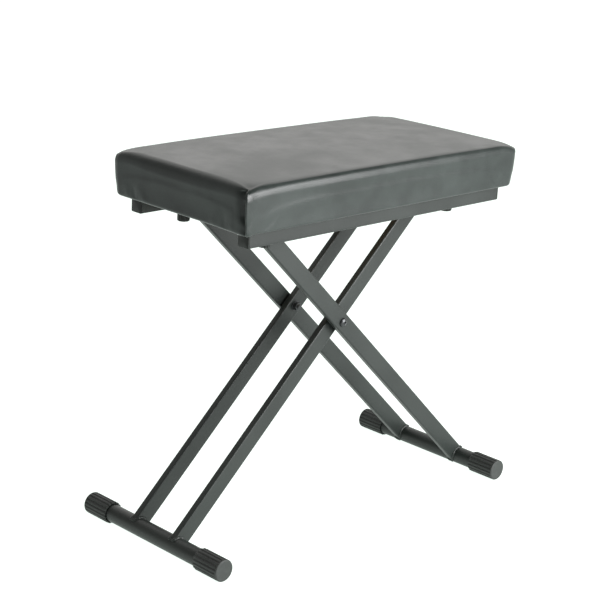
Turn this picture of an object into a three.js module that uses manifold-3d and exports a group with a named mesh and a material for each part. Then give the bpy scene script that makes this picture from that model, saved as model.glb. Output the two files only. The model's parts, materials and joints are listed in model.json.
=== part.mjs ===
// Folding keyboard bench: a padded seat on two pairs of crossed tube legs.
// Millimetres, +Z up. The origin is on the floor under the middle of the bench,
// X runs along the seat, -Y is the front and +Y the rear.

import * as THREE from 'three';
import { mergeVertices } from 'three/addons/utils/BufferGeometryUtils.js';
import Module from 'manifold-3d';

const wasm = await Module();
wasm.setup();

// Stance of the crossed legs, from the pivot bolts down to the foot tubes and up to the crossbars
const standAngleDegrees = 43.8;
const lowerReach = 448.9;
const upperReach = 275;

// Clearance between pieces that are assembled, and how far a cutting tool runs past a wall
const assemblyGap = 0.3;
const overrun = 2;

// Leg tube, flat oval section, and the places of the inner and outer pair
const legWidth = 29.5;
const legThickness = 12;
const legWall = 1.4;
const legCornerRadius = 2.4;
const innerPairFace = 53.2;
const pairGap = 5.3;

// Foot tube with its two ribbed end caps
const footTubeRadius = 14.65;
const footTubeWall = 1.5;
const footHalfSpan = 161.5;
const capRadius = 18.05;
const capLength = 54;
const capEndThickness = 5;
const capRibDepth = 1;
const capRibCount = 18;
const capCrestShare = 0.46;
const capFlangeInset = 0.15;
const capFlangeThickness = 2;
const capFlangeRun = 0.8;
const capChamfer = 0.8;
const capMouthDepth = 5;
const capMouthWall = 0.75;

// Crossbar tube at the top of each pair
const crossbarRadius = 8;
const crossbarWall = 2;

// Pivot bolt, its spacer between the pairs, and the washer and nut inside
const pivotBoltRadius = 4;
const pivotHeadRadius = 7.6;
const pivotHeadHeight = 4.4;
const pivotSocketRadius = 2.7;
const pivotSocketDepth = 2.4;
const pivotSpacerRadius = 12;
const pivotWasherRadius = 8.4;
const pivotWasherThickness = 1.4;
const pivotNutAcrossFlats = 13;
const pivotNutThickness = 6.4;
const pivotBoltEnd = 2.6;

// Moulded block that carries the end of a crossbar under the seat
const blockClearance = 5.4;
const blockWidth = 30;
const blockBoreDepth = 11.3;
const blockEndWall = 6.2;
const blockWeb = 1.9;
const blockRoof = 3.2;
const blockFloor = 2.9;
const blockCornerRadius = 6;
const blockTopRadius = 1;
const blockScrewReach = 14;
const blockPocketDepth = 7;
const blockPocketWall = 2.6;

// Round knob and its screw, which clamps the block to the track
const knobOffset = 9.5;
const knobRadius = 10.2;
const knobHeight = 14.8;
const knobNeckRadius = 7;
const knobNeckHeight = 2.2;
const knobShoulder = 1.4;
const knobBottomRound = 1.8;
const knobFluteDepth = 0.7;
const knobFluteCount = 12;
const knobCrestShare = 0.55;
const knobScrewRadius = 3;
const knobScrewDepth = 10;
const clampNutSide = 16;
const clampNutThickness = 2.4;
const clampNutCornerRadius = 1.5;

// Shallow box track under the seat board, one on each side
const trackWidth = 27;
const trackHeight = 5.6;
const trackWall = 1.2;
const trackCornerRadius = 1;
const trackTail = 6;
const trackSlotClearance = 0.6;
const trackScrewInset = 32;
const trackAccessRadius = 4.6;
const trackScrewRadius = 2;
const trackScrewHeadRadius = 3.8;
const trackScrewHeadHeight = 1.6;

// Rails along the seat, with end plugs and screws, set a little towards the right end as photographed
const railClearance = 5.5;
const railWidth = 23.3;
const railHeight = 26;
const railWall = 1.3;
const railCornerRadius = 1.8;
const railEndInset = 19.5;
const railShift = 5.5;
const railPlugFlange = 2.4;
const railPlugInsert = 12;
const railPlugHollow = 2;
const railScrewInset = 55;
const railScrewRadius = 2.4;
const railScrewHeadRadius = 4.6;
const railScrewHeadHeight = 2.8;

// Screws bite this far into the board
const screwBite = 9;

// Seat cushion: vinyl cover, foam and board
const seatHalfLength = 304.5;
const seatSideOverhang = 19.9;
const cushionHeight = 71.8;
const cushionCrown = 6;
const cushionCornerRadius = 12;
const cushionCornerDroop = 2.5;
const cushionTopRound = 14;
const cushionBottomRound = 5.5;
const cushionTaper = 3;
const cushionDrawIn = 2;
const coverThickness = 1.2;
const coverMargin = 25.5;
const coverFold = 3.6;
const boardThickness = 12;

// Facet counts of round forms
const cornerSegments = 3;
const boltSegments = 16;
const screwSegments = 12;
const crossbarSegments = 24;
const footSegments = 40;
const capBoreSegments = 24;
const headSegments = 20;
const cushionCornerSteps = 4;
const cushionLongSteps = 8;
const cushionShortSteps = 6;
const crownShares = [0.3, 0.6, 0.84, 1];
const roundShares = [0.36, 0.7, 1];
const waistShares = [0.68, 0.32];
const lowerShares = [0.6, 1];

// Worked out from the sizes above
const quarterTurn = Math.PI / 2;
const halfTurn = Math.PI;
const fullTurn = 2 * Math.PI;
const standAngle = THREE.MathUtils.degToRad(standAngleDegrees);
const outerPairFace = innerPairFace + pairGap + legThickness;
const capPitch = fullTurn / capRibCount;
const footAxisHeight = capRadius * Math.cos(capPitch * capCrestShare / 2);
const pivotHeight = footAxisHeight + lowerReach * Math.sin(standAngle);
const crossbarHeight = pivotHeight + upperReach * Math.sin(standAngle);
const crossbarPlace = upperReach * Math.cos(standAngle);
const crossbarBore = crossbarRadius + assemblyGap;
const blockInnerFace = outerPairFace + blockClearance;
const blockOuterFace = blockInnerFace + blockWidth;
const blockTop = crossbarHeight + crossbarBore + blockRoof;
const blockBottom = crossbarHeight - crossbarBore - blockFloor;
const blockNearReach = crossbarBore + blockEndWall;
const blockFarReach = knobOffset + blockScrewReach;
const knobScrewBore = knobScrewRadius + assemblyGap;
const knobLine = blockInnerFace + blockBoreDepth + blockWeb + knobScrewBore;
const knobPlace = crossbarPlace + knobOffset;
const knobTop = blockBottom - assemblyGap;
const trackBottom = blockTop + assemblyGap;
const trackTop = trackBottom + trackHeight;
const trackCeiling = trackTop - trackWall;
const boardBottom = trackTop + assemblyGap;
const coverBottom = boardBottom - assemblyGap - coverThickness;
const railTop = coverBottom - assemblyGap;
const railBottom = railTop - railHeight;
const railLine = blockOuterFace + railClearance + railWidth / 2;
const railHalfLength = seatHalfLength - railEndInset;
const railScrewPlace = railHalfLength - railScrewInset;
const seatHalfDepth = railLine + railWidth / 2 + seatSideOverhang;
const cushionShoulder = coverBottom + cushionHeight;
const sideTop = cushionShoulder - cushionTopRound;
const sideBottom = coverBottom + cushionBottomRound;
const foamInset = coverThickness + assemblyGap;
const foamBottom = boardBottom + boardThickness + assemblyGap;
const trackEnd = seatHalfLength - coverMargin - trackTail;
const trackStart = -(knobPlace + blockScrewReach + trackTail);
const leftTrackScrew = trackStart + blockScrewReach + blockFarReach + trackScrewInset;
const trackScrewPlaces = [leftTrackScrew, knobPlace - trackScrewInset];

const sides = [{ name: 'front', sign: -1 }, { name: 'rear', sign: 1 }];
const ends = [{ name: 'left', sign: -1 }, { name: 'right', sign: 1 }];

// Finishes
const finishes = {
  vinyl: new THREE.MeshStandardMaterial({ color: 0x2e302f, roughness: 0.48, metalness: 0 }),
  foam: new THREE.MeshStandardMaterial({ color: 0xb9b19a, roughness: 0.95, metalness: 0 }),
  board: new THREE.MeshStandardMaterial({ color: 0x8a6d4b, roughness: 0.8, metalness: 0 }),
  blackPaint: new THREE.MeshStandardMaterial({ color: 0x262827, roughness: 0.42, metalness: 0.1 }),
  rubber: new THREE.MeshStandardMaterial({ color: 0x1b1c1b, roughness: 0.75, metalness: 0 }),
  plastic: new THREE.MeshStandardMaterial({ color: 0x151615, roughness: 0.55, metalness: 0 }),
  zincSteel: new THREE.MeshStandardMaterial({ color: 0x9fa3a6, roughness: 0.35, metalness: 1 }),
  blackSteel: new THREE.MeshStandardMaterial({ color: 0x2b2c2d, roughness: 0.3, metalness: 0.8 }),
};

// Merges a geometry's shared corners and drops the triangles that this flattens
function weld(geometry) {
  const bare = geometry.clone();
  bare.deleteAttribute('normal');
  bare.deleteAttribute('uv');
  const merged = mergeVertices(bare);
  const corners = merged.index.array;
  const kept = [];
  for (let first = 0; first < corners.length; first += 3) {
    const [a, b, c] = corners.slice(first, first + 3);
    if (a !== b && b !== c && c !== a) {
      kept.push(a, b, c);
    }
  }
  merged.setIndex(kept);
  return merged;
}

function solidOf(geometry) {
  const welded = weld(geometry);
  const vertProperties = new Float32Array(welded.attributes.position.array);
  const triVerts = new Uint32Array(welded.index.array);
  return new wasm.Manifold(new wasm.Mesh({ numProp: 3, vertProperties, triVerts }));
}

function geometryOf(solid) {
  const mesh = solid.getMesh();
  const geometry = new THREE.BufferGeometry();
  geometry.setAttribute('position', new THREE.BufferAttribute(new Float32Array(mesh.vertProperties), 3));
  geometry.setIndex(new THREE.BufferAttribute(new Uint32Array(mesh.triVerts), 1));
  return geometry;
}

function cut(geometry, tools) {
  let solid = solidOf(geometry);
  for (const tool of tools) {
    solid = solid.subtract(solidOf(tool));
  }
  return geometryOf(solid);
}

function join(geometries) {
  let solid = solidOf(geometries[0]);
  for (const geometry of geometries.slice(1)) {
    solid = solid.add(solidOf(geometry));
  }
  return geometryOf(solid);
}

// Adds a named piece to a group, at a place in that group
function place(group, name, geometry, material, position = [0, 0, 0]) {
  const welded = weld(geometry);
  welded.computeVertexNormals();
  const mesh = new THREE.Mesh(welded, material);
  mesh.name = name;
  mesh.position.set(...position);
  group.add(mesh);
}

function roundedRectangle(width, height, radius) {
  const shape = new THREE.Shape();
  const right = width / 2 - radius;
  const top = height / 2 - radius;
  shape.absarc(right, top, radius, 0, quarterTurn, false);
  shape.absarc(-right, top, radius, quarterTurn, halfTurn, false);
  shape.absarc(-right, -top, radius, halfTurn, halfTurn + quarterTurn, false);
  shape.absarc(right, -top, radius, halfTurn + quarterTurn, fullTurn, false);
  shape.closePath();
  return shape;
}

function circleShape(radius) {
  const shape = new THREE.Shape();
  shape.absarc(0, 0, radius, 0, fullTurn, false);
  return shape;
}

function prism(shape, length, curveSegments) {
  return new THREE.ExtrudeGeometry(shape, { depth: length, bevelEnabled: false, curveSegments });
}

// Rectangular tube along X, its section's height along Z, from one X to another
function boxTube(height, depth, radius, wall, fromX, toX) {
  const section = roundedRectangle(height, depth, radius);
  const innerRadius = Math.max(radius - wall, wall / 2);
  section.holes.push(roundedRectangle(height - 2 * wall, depth - 2 * wall, innerRadius));
  const tube = prism(section, toX - fromX, cornerSegments);
  tube.rotateY(quarterTurn);
  tube.translate(fromX, 0, 0);
  return tube;
}

// Round tube along Y, centred
function roundTube(radius, wall, length, segments) {
  const section = circleShape(radius);
  section.holes.push(circleShape(radius - wall));
  const tube = prism(section, length, segments / 2);
  tube.translate(0, 0, -length / 2);
  tube.rotateX(quarterTurn);
  return tube;
}

function rodAlongY(radius, fromY, toY, segments, x = 0, z = 0) {
  const rod = new THREE.CylinderGeometry(radius, radius, Math.abs(toY - fromY), segments);
  rod.translate(x, (fromY + toY) / 2, z);
  return rod;
}

function rodAlongZ(radius, fromZ, toZ, segments, x = 0, y = 0) {
  const rod = new THREE.CylinderGeometry(radius, radius, Math.abs(toZ - fromZ), segments);
  rod.rotateX(quarterTurn);
  rod.translate(x, y, (fromZ + toZ) / 2);
  return rod;
}

// Skin from a start point over rings of equal count to an end point, counterclockwise seen from the start.
// A face is split from its higher ring, so that two skins with the same rings stay clear of each other.
function skin(startPoint, rings, endPoint) {
  const count = rings[0].length;
  const points = [startPoint, ...rings.flat(), endPoint];
  const last = points.length - 1;
  const triangles = [];
  for (let step = 0; step < count; step += 1) {
    const next = (step + 1) % count;
    triangles.push(0, 1 + step, 1 + next);
    for (let ring = 0; ring + 1 < rings.length; ring += 1) {
      const upper = 1 + ring * count;
      const lower = upper + count;
      if (points[upper + step].z < points[lower + step].z) {
        triangles.push(upper + step, lower + step, upper + next);
        triangles.push(lower + step, lower + next, upper + next);
      } else {
        triangles.push(upper + step, lower + step, lower + next);
        triangles.push(upper + step, lower + next, upper + next);
      }
    }
    const bottom = 1 + (rings.length - 1) * count;
    triangles.push(bottom + step, last, bottom + next);
  }
  const geometry = new THREE.BufferGeometry();
  geometry.setFromPoints(points);
  geometry.setIndex(triangles);
  return geometry;
}

// Ring at one height with ribs round it, each rib a crest between two sloping flanks
function ribbedRing(radius, depth, count, crestShare, z) {
  const pitch = fullTurn / count;
  const crest = pitch * crestShare / 2;
  const flank = (pitch / 2 - crest) / 2;
  const ring = [];
  for (let rib = 0; rib < count; rib += 1) {
    const middle = rib * pitch;
    const stations = [[-crest, radius], [crest, radius], [crest + flank, radius - depth]];
    stations.push([pitch - crest - flank, radius - depth]);
    for (const [angle, reach] of stations) {
      const turn = middle + angle;
      ring.push(new THREE.Vector3(reach * Math.cos(turn), reach * Math.sin(turn), z));
    }
  }
  return ring;
}

// Outline of the cushion at one level, its sides drawn in between the corners
function cushionRing(halfLength, halfDepth, radius, drawIn, heightAt) {
  const straightX = halfLength - radius;
  const straightY = halfDepth - radius;
  const corners = [[1, 1], [-1, 1], [-1, -1], [1, -1]].map(([x, y]) => [x * straightX, y * straightY]);
  const ring = [];
  corners.forEach(([cornerX, cornerY], corner) => {
    for (let step = 0; step <= cushionCornerSteps; step += 1) {
      const turn = (corner + step / cushionCornerSteps) * quarterTurn;
      ring.push([cornerX + radius * Math.cos(turn), cornerY + radius * Math.sin(turn)]);
    }
    const alongX = corner % 2 === 0;
    const steps = alongX ? cushionLongSteps : cushionShortSteps;
    const outward = corner < 2 ? 1 : -1;
    for (let step = 1; step < steps; step += 1) {
      const share = 1 - 2 * step / steps;
      const pull = drawIn * (1 - share ** 2);
      if (alongX) {
        ring.push([outward * straightX * share, outward * (halfDepth - pull)]);
      } else {
        ring.push([-outward * (halfLength - pull), outward * straightY * share]);
      }
    }
  });
  return ring.map(([x, y]) => new THREE.Vector3(x, y, heightAt(x, y)));
}

// How near a place is to a corner of the cushion's top, from 0 to 1
function cornerShare(shareX, shareY) {
  return Math.min(Math.abs(shareX), 1) ** 3 * Math.min(Math.abs(shareY), 1) ** 3;
}

// How far the cushion's side leans in at a level
function leanAt(z) {
  return cushionTaper * THREE.MathUtils.clamp((sideTop - z) / (sideTop - sideBottom), 0, 1);
}

// Rings over the cushion's top and down its side to the board's top, inset from the outside of the cover
function cushionRings(inset) {
  const topRound = cushionTopRound - inset;
  const top = cushionShoulder - inset;
  const halfLength = seatHalfLength - inset;
  const halfDepth = seatHalfDepth - inset;
  const flatLength = halfLength - topRound;
  const flatDepth = halfDepth - topRound;
  const cornerRadius = cushionCornerRadius - inset;
  const edgeAt = (x, y) => top - cushionCornerDroop * cornerShare(x / flatLength, y / flatDepth);
  const crownShare = (x, y) => (1 - (x / flatLength) ** 2) * (1 - (y / flatDepth) ** 2);
  const crownAt = (x, y) => edgeAt(x, y) + cushionCrown * crownShare(x, y);
  const rings = [];
  for (const share of crownShares) {
    const radius = (cushionCornerRadius - cushionTopRound / 2) * share;
    rings.push(cushionRing(flatLength * share, flatDepth * share, radius, 0, crownAt));
  }
  for (const share of roundShares) {
    const angle = quarterTurn * share;
    const drop = topRound * (1 - Math.cos(angle));
    const reach = topRound * Math.sin(angle);
    const radius = cornerRadius - (topRound - reach) / 2;
    rings.push(cushionRing(flatLength + reach, flatDepth + reach, radius, 0, (x, y) => edgeAt(x, y) - drop));
  }
  for (const share of waistShares) {
    const z = foamBottom + (sideTop - foamBottom) * share;
    const lean = leanAt(z);
    const radius = cornerRadius - lean;
    rings.push(cushionRing(halfLength - lean, halfDepth - lean, radius, cushionDrawIn, () => z));
  }
  rings.push(levelRing(inset, 0, foamBottom));
  return rings;
}

// Straight-sided outline at a level, inset from the outside of the cover, its corners eased a little more
function levelRing(inset, ease, z) {
  const lean = leanAt(z);
  const radius = cushionCornerRadius - inset - lean + ease;
  return cushionRing(seatHalfLength - inset - lean, seatHalfDepth - inset - lean, radius, 0, () => z);
}

function peakOf(inset) {
  return new THREE.Vector3(0, 0, cushionShoulder - inset + cushionCrown);
}

// Vinyl cover: one skin over the top, down the sides, round the lower edge and back inside
function seatCover() {
  const ledge = coverBottom + coverThickness;
  const rings = cushionRings(0);
  rings.push(levelRing(0, 0, sideBottom));
  for (const share of lowerShares) {
    const angle = quarterTurn * share;
    const inset = cushionBottomRound * (1 - Math.cos(angle));
    rings.push(levelRing(inset, 0, sideBottom - cushionBottomRound * Math.sin(angle)));
  }
  const margin = coverMargin - cushionTaper;
  rings.push(levelRing(margin, margin - cushionCornerRadius / 2, coverBottom));
  rings.push(levelRing(margin, margin - cushionCornerRadius / 2, ledge));
  rings.push(levelRing(coverFold, 0, ledge));
  rings.push(levelRing(coverThickness, 0, sideBottom));
  rings.push(...cushionRings(coverThickness).reverse());
  return skin(peakOf(0), rings, peakOf(coverThickness));
}

// Foam block with the cushion's form, on top of the board
function seatFoam() {
  return skin(peakOf(foamInset), cushionRings(foamInset), new THREE.Vector3(0, 0, foamBottom));
}

function holesAlongZ(radius, places, fromZ, toZ) {
  return places.map(([x, y]) => rodAlongZ(radius, fromZ, toZ, screwSegments, x, y));
}

function seatBoard() {
  const inset = cushionTaper + coverFold + assemblyGap;
  const length = 2 * (seatHalfLength - inset);
  const depth = 2 * (seatHalfDepth - inset);
  const outline = roundedRectangle(length, depth, cushionCornerRadius - inset);
  const board = prism(outline, boardThickness, cushionCornerSteps);
  board.translate(0, 0, boardBottom);
  const railPlaces = [];
  const trackPlaces = [];
  for (const side of sides) {
    for (const end of ends) {
      railPlaces.push([railShift + end.sign * railScrewPlace, side.sign * railLine]);
    }
    for (const x of trackScrewPlaces) {
      trackPlaces.push([x, side.sign * knobLine]);
    }
  }
  const low = boardBottom - overrun;
  const high = boardBottom + screwBite + assemblyGap;
  return cut(board, [
    ...holesAlongZ(railScrewRadius + assemblyGap, railPlaces, low, high),
    ...holesAlongZ(trackScrewRadius + assemblyGap, trackPlaces, low, high),
  ]);
}

// Screw that points up, its head's underside at z = 0
function risingScrew(radius, length, headRadius, headHeight) {
  const crown = headHeight / 2;
  const profile = [
    new THREE.Vector2(0, -headHeight),
    new THREE.Vector2(headRadius - crown, -headHeight),
    new THREE.Vector2(headRadius, -crown),
    new THREE.Vector2(headRadius, 0),
    new THREE.Vector2(radius, 0),
    new THREE.Vector2(radius, length - radius),
    new THREE.Vector2(0, length),
  ];
  const screw = new THREE.LatheGeometry(profile, screwSegments);
  screw.rotateX(quarterTurn);
  return screw;
}

function rail() {
  const length = railHalfLength - railPlugFlange - assemblyGap;
  const tube = boxTube(railHeight, railWidth, railCornerRadius, railWall, -length, length);
  const places = ends.map((end) => [end.sign * railScrewPlace, 0]);
  return cut(tube, holesAlongZ(railScrewRadius + assemblyGap, places, -railHeight, railHeight));
}

// End plug of a rail: a flat flange and a hollow insert, pushed in from the end that sign names
function railPlug(sign) {
  const face = roundedRectangle(railHeight, railWidth, railCornerRadius);
  const flange = prism(face, railPlugFlange, cornerSegments);
  const insetHeight = railHeight - 2 * (railWall + assemblyGap);
  const insetWidth = railWidth - 2 * (railWall + assemblyGap);
  const insertDepth = railPlugInsert + railPlugFlange / 2;
  const insert = new THREE.BoxGeometry(insetHeight, insetWidth, insertDepth);
  insert.translate(0, 0, insertDepth / 2 - railPlugInsert);
  const hollowDepth = railPlugInsert + overrun;
  const hollow = new THREE.BoxGeometry(
    insetHeight - 2 * railPlugHollow,
    insetWidth - 2 * railPlugHollow,
    hollowDepth,
  );
  hollow.translate(0, 0, -hollowDepth / 2);
  const plug = cut(join([flange, insert]), [hollow]);
  plug.rotateY(sign * quarterTurn);
  return plug;
}

// Shallow box track with a slot from the stop to its open right end, and holes for the screws
function track() {
  const tube = boxTube(trackHeight, trackWidth, trackCornerRadius, trackWall, trackStart, trackEnd);
  const half = trackHeight / 2;
  const slotRadius = knobScrewRadius + trackSlotClearance;
  const slotLength = trackEnd + overrun - knobPlace;
  const slot = new THREE.BoxGeometry(slotLength, 2 * slotRadius, half + overrun);
  slot.translate(knobPlace + slotLength / 2, 0, -(half + overrun) / 2);
  const stops = [[-knobPlace, 0], [knobPlace, 0]];
  const screws = trackScrewPlaces.map((x) => [x, 0]);
  return cut(tube, [
    slot,
    ...holesAlongZ(slotRadius, stops, -half - overrun, 0),
    ...holesAlongZ(trackAccessRadius, screws, -half - overrun, 0),
    ...holesAlongZ(trackScrewRadius + assemblyGap, screws, 0, half + overrun),
  ]);
}

// Moulded block, with X and Y signs that say which end and side of the bench it faces away from
function pivotBlock(xSign, ySign) {
  const top = blockTop - crossbarHeight;
  const bottom = blockBottom - crossbarHeight;
  const length = blockNearReach + blockFarReach;
  const height = top - bottom;
  const middleX = xSign * (blockFarReach - blockNearReach) / 2;
  const middleY = ySign * (blockInnerFace + blockOuterFace) / 2;
  const profile = new THREE.Shape();
  const x = length / 2;
  const z = height / 2;
  profile.moveTo(-x + blockCornerRadius, -z);
  profile.lineTo(x - blockCornerRadius, -z);
  profile.absarc(x - blockCornerRadius, -z + blockCornerRadius, blockCornerRadius, -quarterTurn, 0, false);
  profile.lineTo(x, z - blockTopRadius);
  profile.lineTo(x - blockTopRadius, z);
  profile.lineTo(-x + blockTopRadius, z);
  profile.lineTo(-x, z - blockTopRadius);
  const lowerX = -x + blockCornerRadius;
  profile.absarc(lowerX, -z + blockCornerRadius, blockCornerRadius, halfTurn, halfTurn + quarterTurn, false);
  const block = prism(profile, blockWidth, cornerSegments);
  block.translate(middleX, (top + bottom) / 2, -blockWidth / 2);
  block.rotateX(quarterTurn);
  block.translate(0, middleY, 0);
  const boreStart = ySign * (blockInnerFace - overrun);
  const boreEnd = ySign * (blockInnerFace + blockBoreDepth);
  const bore = rodAlongY(crossbarBore, boreStart, boreEnd, crossbarSegments);
  const screwX = xSign * knobOffset;
  const screwY = ySign * knobLine;
  const screwHole = rodAlongZ(knobScrewBore, bottom - overrun, top + overrun, screwSegments, screwX, screwY);
  const pocketHeight = height - blockRoof - 2 * blockPocketWall;
  const pocketReach = blockNearReach - blockPocketWall;
  const pocket = new THREE.BoxGeometry(pocketReach, blockPocketDepth + overrun, pocketHeight);
  const pocketY = ySign * (blockOuterFace + (overrun - blockPocketDepth) / 2);
  pocket.translate(-xSign * pocketReach / 2, pocketY, (top + bottom) / 2);
  return cut(block, [bore, screwHole, pocket]);
}

// Round knob with fluted grip, hanging from its top face at z = 0
function knob() {
  const grip = (radius, z) => ribbedRing(radius, knobFluteDepth, knobFluteCount, knobCrestShare, z);
  const neck = (z) => ribbedRing(knobNeckRadius, 0, knobFluteCount, knobCrestShare, z);
  const body = skin(
    new THREE.Vector3(0, 0, 0),
    [
      neck(0),
      neck(-knobNeckHeight),
      grip(knobRadius - knobShoulder, -knobNeckHeight),
      grip(knobRadius, -knobNeckHeight - knobShoulder),
      grip(knobRadius, -knobHeight + knobBottomRound),
    ],
    new THREE.Vector3(0, 0, -knobHeight),
  );
  return cut(body, [rodAlongZ(knobScrewBore, -knobScrewDepth - assemblyGap, overrun, screwSegments)]);
}

function clampNut() {
  const outline = roundedRectangle(clampNutSide, clampNutSide, clampNutCornerRadius);
  const nut = prism(outline, clampNutThickness, cornerSegments);
  return cut(nut, [rodAlongZ(knobScrewBore, -overrun, clampNutThickness + overrun, screwSegments)]);
}

// Leg tube of a pair, coped over the foot tube and notched for the crossbar it is welded to
function leg() {
  const tube = boxTube(legWidth, legThickness, legCornerRadius, legWall, -upperReach, lowerReach);
  return cut(tube, [
    rodAlongY(pivotBoltRadius + assemblyGap, -legThickness, legThickness, boltSegments),
    rodAlongY(crossbarBore, -legThickness, legThickness, crossbarSegments, -upperReach),
    rodAlongY(footTubeRadius + assemblyGap, -legThickness, legThickness, footSegments, lowerReach),
  ]);
}

// Ribbed rubber cap, its mouth at z = 0 and its closed end at the far side
function footCap() {
  const ribs = (z) => ribbedRing(capRadius, capRibDepth, capRibCount, capCrestShare, z);
  const smooth = (radius, z) => ribbedRing(radius, 0, capRibCount, capCrestShare, z);
  const flangeRadius = capRadius - capFlangeInset;
  const body = skin(
    new THREE.Vector3(0, 0, capLength),
    [
      smooth(flangeRadius - capChamfer, capLength),
      smooth(flangeRadius, capLength - capChamfer),
      smooth(flangeRadius, capLength - capFlangeThickness),
      ribs(capLength - capFlangeThickness - capFlangeRun),
      ribs(0),
    ],
    new THREE.Vector3(0, 0, 0),
  );
  const mouthRadius = capRadius - capRibDepth - capMouthWall;
  return cut(body, [
    rodAlongZ(footTubeRadius + assemblyGap, -overrun, capLength - capEndThickness, capBoreSegments),
    rodAlongZ(mouthRadius, -overrun, capMouthDepth, capBoreSegments),
  ]);
}

// Pivot bolt along Y with its domed head's underside at y = 0, the head towards +Y
function pivotBolt(length) {
  const dome = [];
  for (const share of roundShares) {
    const angle = quarterTurn * share;
    dome.push(new THREE.Vector2(pivotHeadRadius * Math.cos(angle), pivotHeadHeight * Math.sin(angle)));
  }
  const profile = [
    new THREE.Vector2(0, -length),
    new THREE.Vector2(pivotBoltRadius - pivotBoltRadius / 4, -length),
    new THREE.Vector2(pivotBoltRadius, -length + pivotBoltRadius / 4),
    new THREE.Vector2(pivotBoltRadius, 0),
    new THREE.Vector2(pivotHeadRadius, 0),
    ...dome.slice(0, -1),
    new THREE.Vector2(0, pivotHeadHeight),
  ];
  const bolt = new THREE.LatheGeometry(profile, headSegments);
  const socketLength = pivotSocketDepth + overrun;
  const socket = new THREE.CylinderGeometry(pivotSocketRadius, pivotSocketRadius, socketLength, 6);
  socket.translate(0, pivotHeadHeight - pivotSocketDepth + (pivotSocketDepth + overrun) / 2, 0);
  return cut(bolt, [socket]);
}

function ringAlongY(outerRadius, innerRadius, length) {
  return roundTube(outerRadius, outerRadius - innerRadius, length, headSegments);
}

function pivotNut() {
  const circumradius = pivotNutAcrossFlats / Math.sqrt(3);
  const nut = new THREE.CylinderGeometry(circumradius, circumradius, pivotNutThickness, 6);
  const bore = rodAlongY(pivotBoltRadius + assemblyGap, -pivotNutThickness, pivotNutThickness, boltSegments);
  return cut(nut, [bore]);
}

// One pair of legs with its foot tube, caps and crossbar. Local X runs from the pivot to the foot tube.
function legPair(label, outerFace, facing) {
  const frame = new THREE.Group();
  const legMiddle = outerFace - legThickness / 2;
  for (const side of sides) {
    const y = side.sign * facing;
    place(frame, `${label}_leg_${side.name}`, leg(), finishes.blackPaint, [0, y * legMiddle, 0]);
    const cap = footCap();
    cap.rotateZ(y * (quarterTurn - standAngle));
    cap.rotateX(-y * quarterTurn);
    const mouth = y * (footHalfSpan - capLength);
    place(frame, `${label}_foot_cap_${side.name}`, cap, finishes.rubber, [lowerReach, mouth, 0]);
  }
  const footLength = 2 * (footHalfSpan - capEndThickness - assemblyGap);
  const footTube = roundTube(footTubeRadius, footTubeWall, footLength, footSegments);
  place(frame, `${label}_foot_tube`, footTube, finishes.blackPaint, [lowerReach, 0, 0]);
  const barLength = 2 * (blockInnerFace + blockBoreDepth - assemblyGap);
  const bar = roundTube(crossbarRadius, crossbarWall, barLength, crossbarSegments);
  place(frame, `${label}_crossbar`, bar, finishes.blackPaint, [-upperReach, 0, 0]);
  return frame;
}

// Bolt, spacer, washer and nut at both crossings, carried by the outer pair
function pivotHardware(frame) {
  const innerFace = innerPairFace - legThickness;
  const nutFace = innerFace - assemblyGap - pivotWasherThickness - assemblyGap;
  const boltFace = outerPairFace + assemblyGap;
  const boltLength = boltFace - nutFace + pivotNutThickness + pivotBoltEnd;
  const hole = pivotBoltRadius + assemblyGap;
  for (const side of sides) {
    const bolt = pivotBolt(boltLength);
    if (side.sign < 0) {
      bolt.rotateX(halfTurn);
    }
    place(frame, `pivot_bolt_${side.name}`, bolt, finishes.blackSteel, [0, side.sign * boltFace, 0]);
    const spacer = ringAlongY(pivotSpacerRadius, hole, pairGap - 2 * assemblyGap);
    const spacerPlace = side.sign * (innerPairFace + pairGap / 2);
    place(frame, `pivot_spacer_${side.name}`, spacer, finishes.plastic, [0, spacerPlace, 0]);
    const washer = ringAlongY(pivotWasherRadius, hole, pivotWasherThickness);
    const washerPlace = side.sign * (innerFace - assemblyGap - pivotWasherThickness / 2);
    place(frame, `pivot_washer_${side.name}`, washer, finishes.blackSteel, [0, washerPlace, 0]);
    const nutPlace = side.sign * (nutFace - pivotNutThickness / 2);
    place(frame, `pivot_nut_${side.name}`, pivotNut(), finishes.blackSteel, [0, nutPlace, 0]);
  }
}

const bench = new THREE.Group();

// Seat
place(bench, 'seat_cover', seatCover(), finishes.vinyl);
place(bench, 'seat_foam', seatFoam(), finishes.foam);
place(bench, 'seat_board', seatBoard(), finishes.board);

for (const side of sides) {
  const railMiddle = (railTop + railBottom) / 2;
  const railY = side.sign * railLine;
  place(bench, `rail_${side.name}`, rail(), finishes.blackPaint, [railShift, railY, railMiddle]);
  const railScrewLength = boardBottom - railBottom + screwBite;
  for (const end of ends) {
    const label = `${side.name}_${end.name}`;
    const plugX = railShift + end.sign * (railHalfLength - railPlugFlange);
    place(bench, `rail_plug_${label}`, railPlug(end.sign), finishes.plastic, [plugX, railY, railMiddle]);
    const screw = risingScrew(railScrewRadius, railScrewLength, railScrewHeadRadius, railScrewHeadHeight);
    const screwZ = railBottom - assemblyGap;
    const screwX = railShift + end.sign * railScrewPlace;
    place(bench, `rail_screw_${label}`, screw, finishes.zincSteel, [screwX, railY, screwZ]);
  }
}

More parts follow.
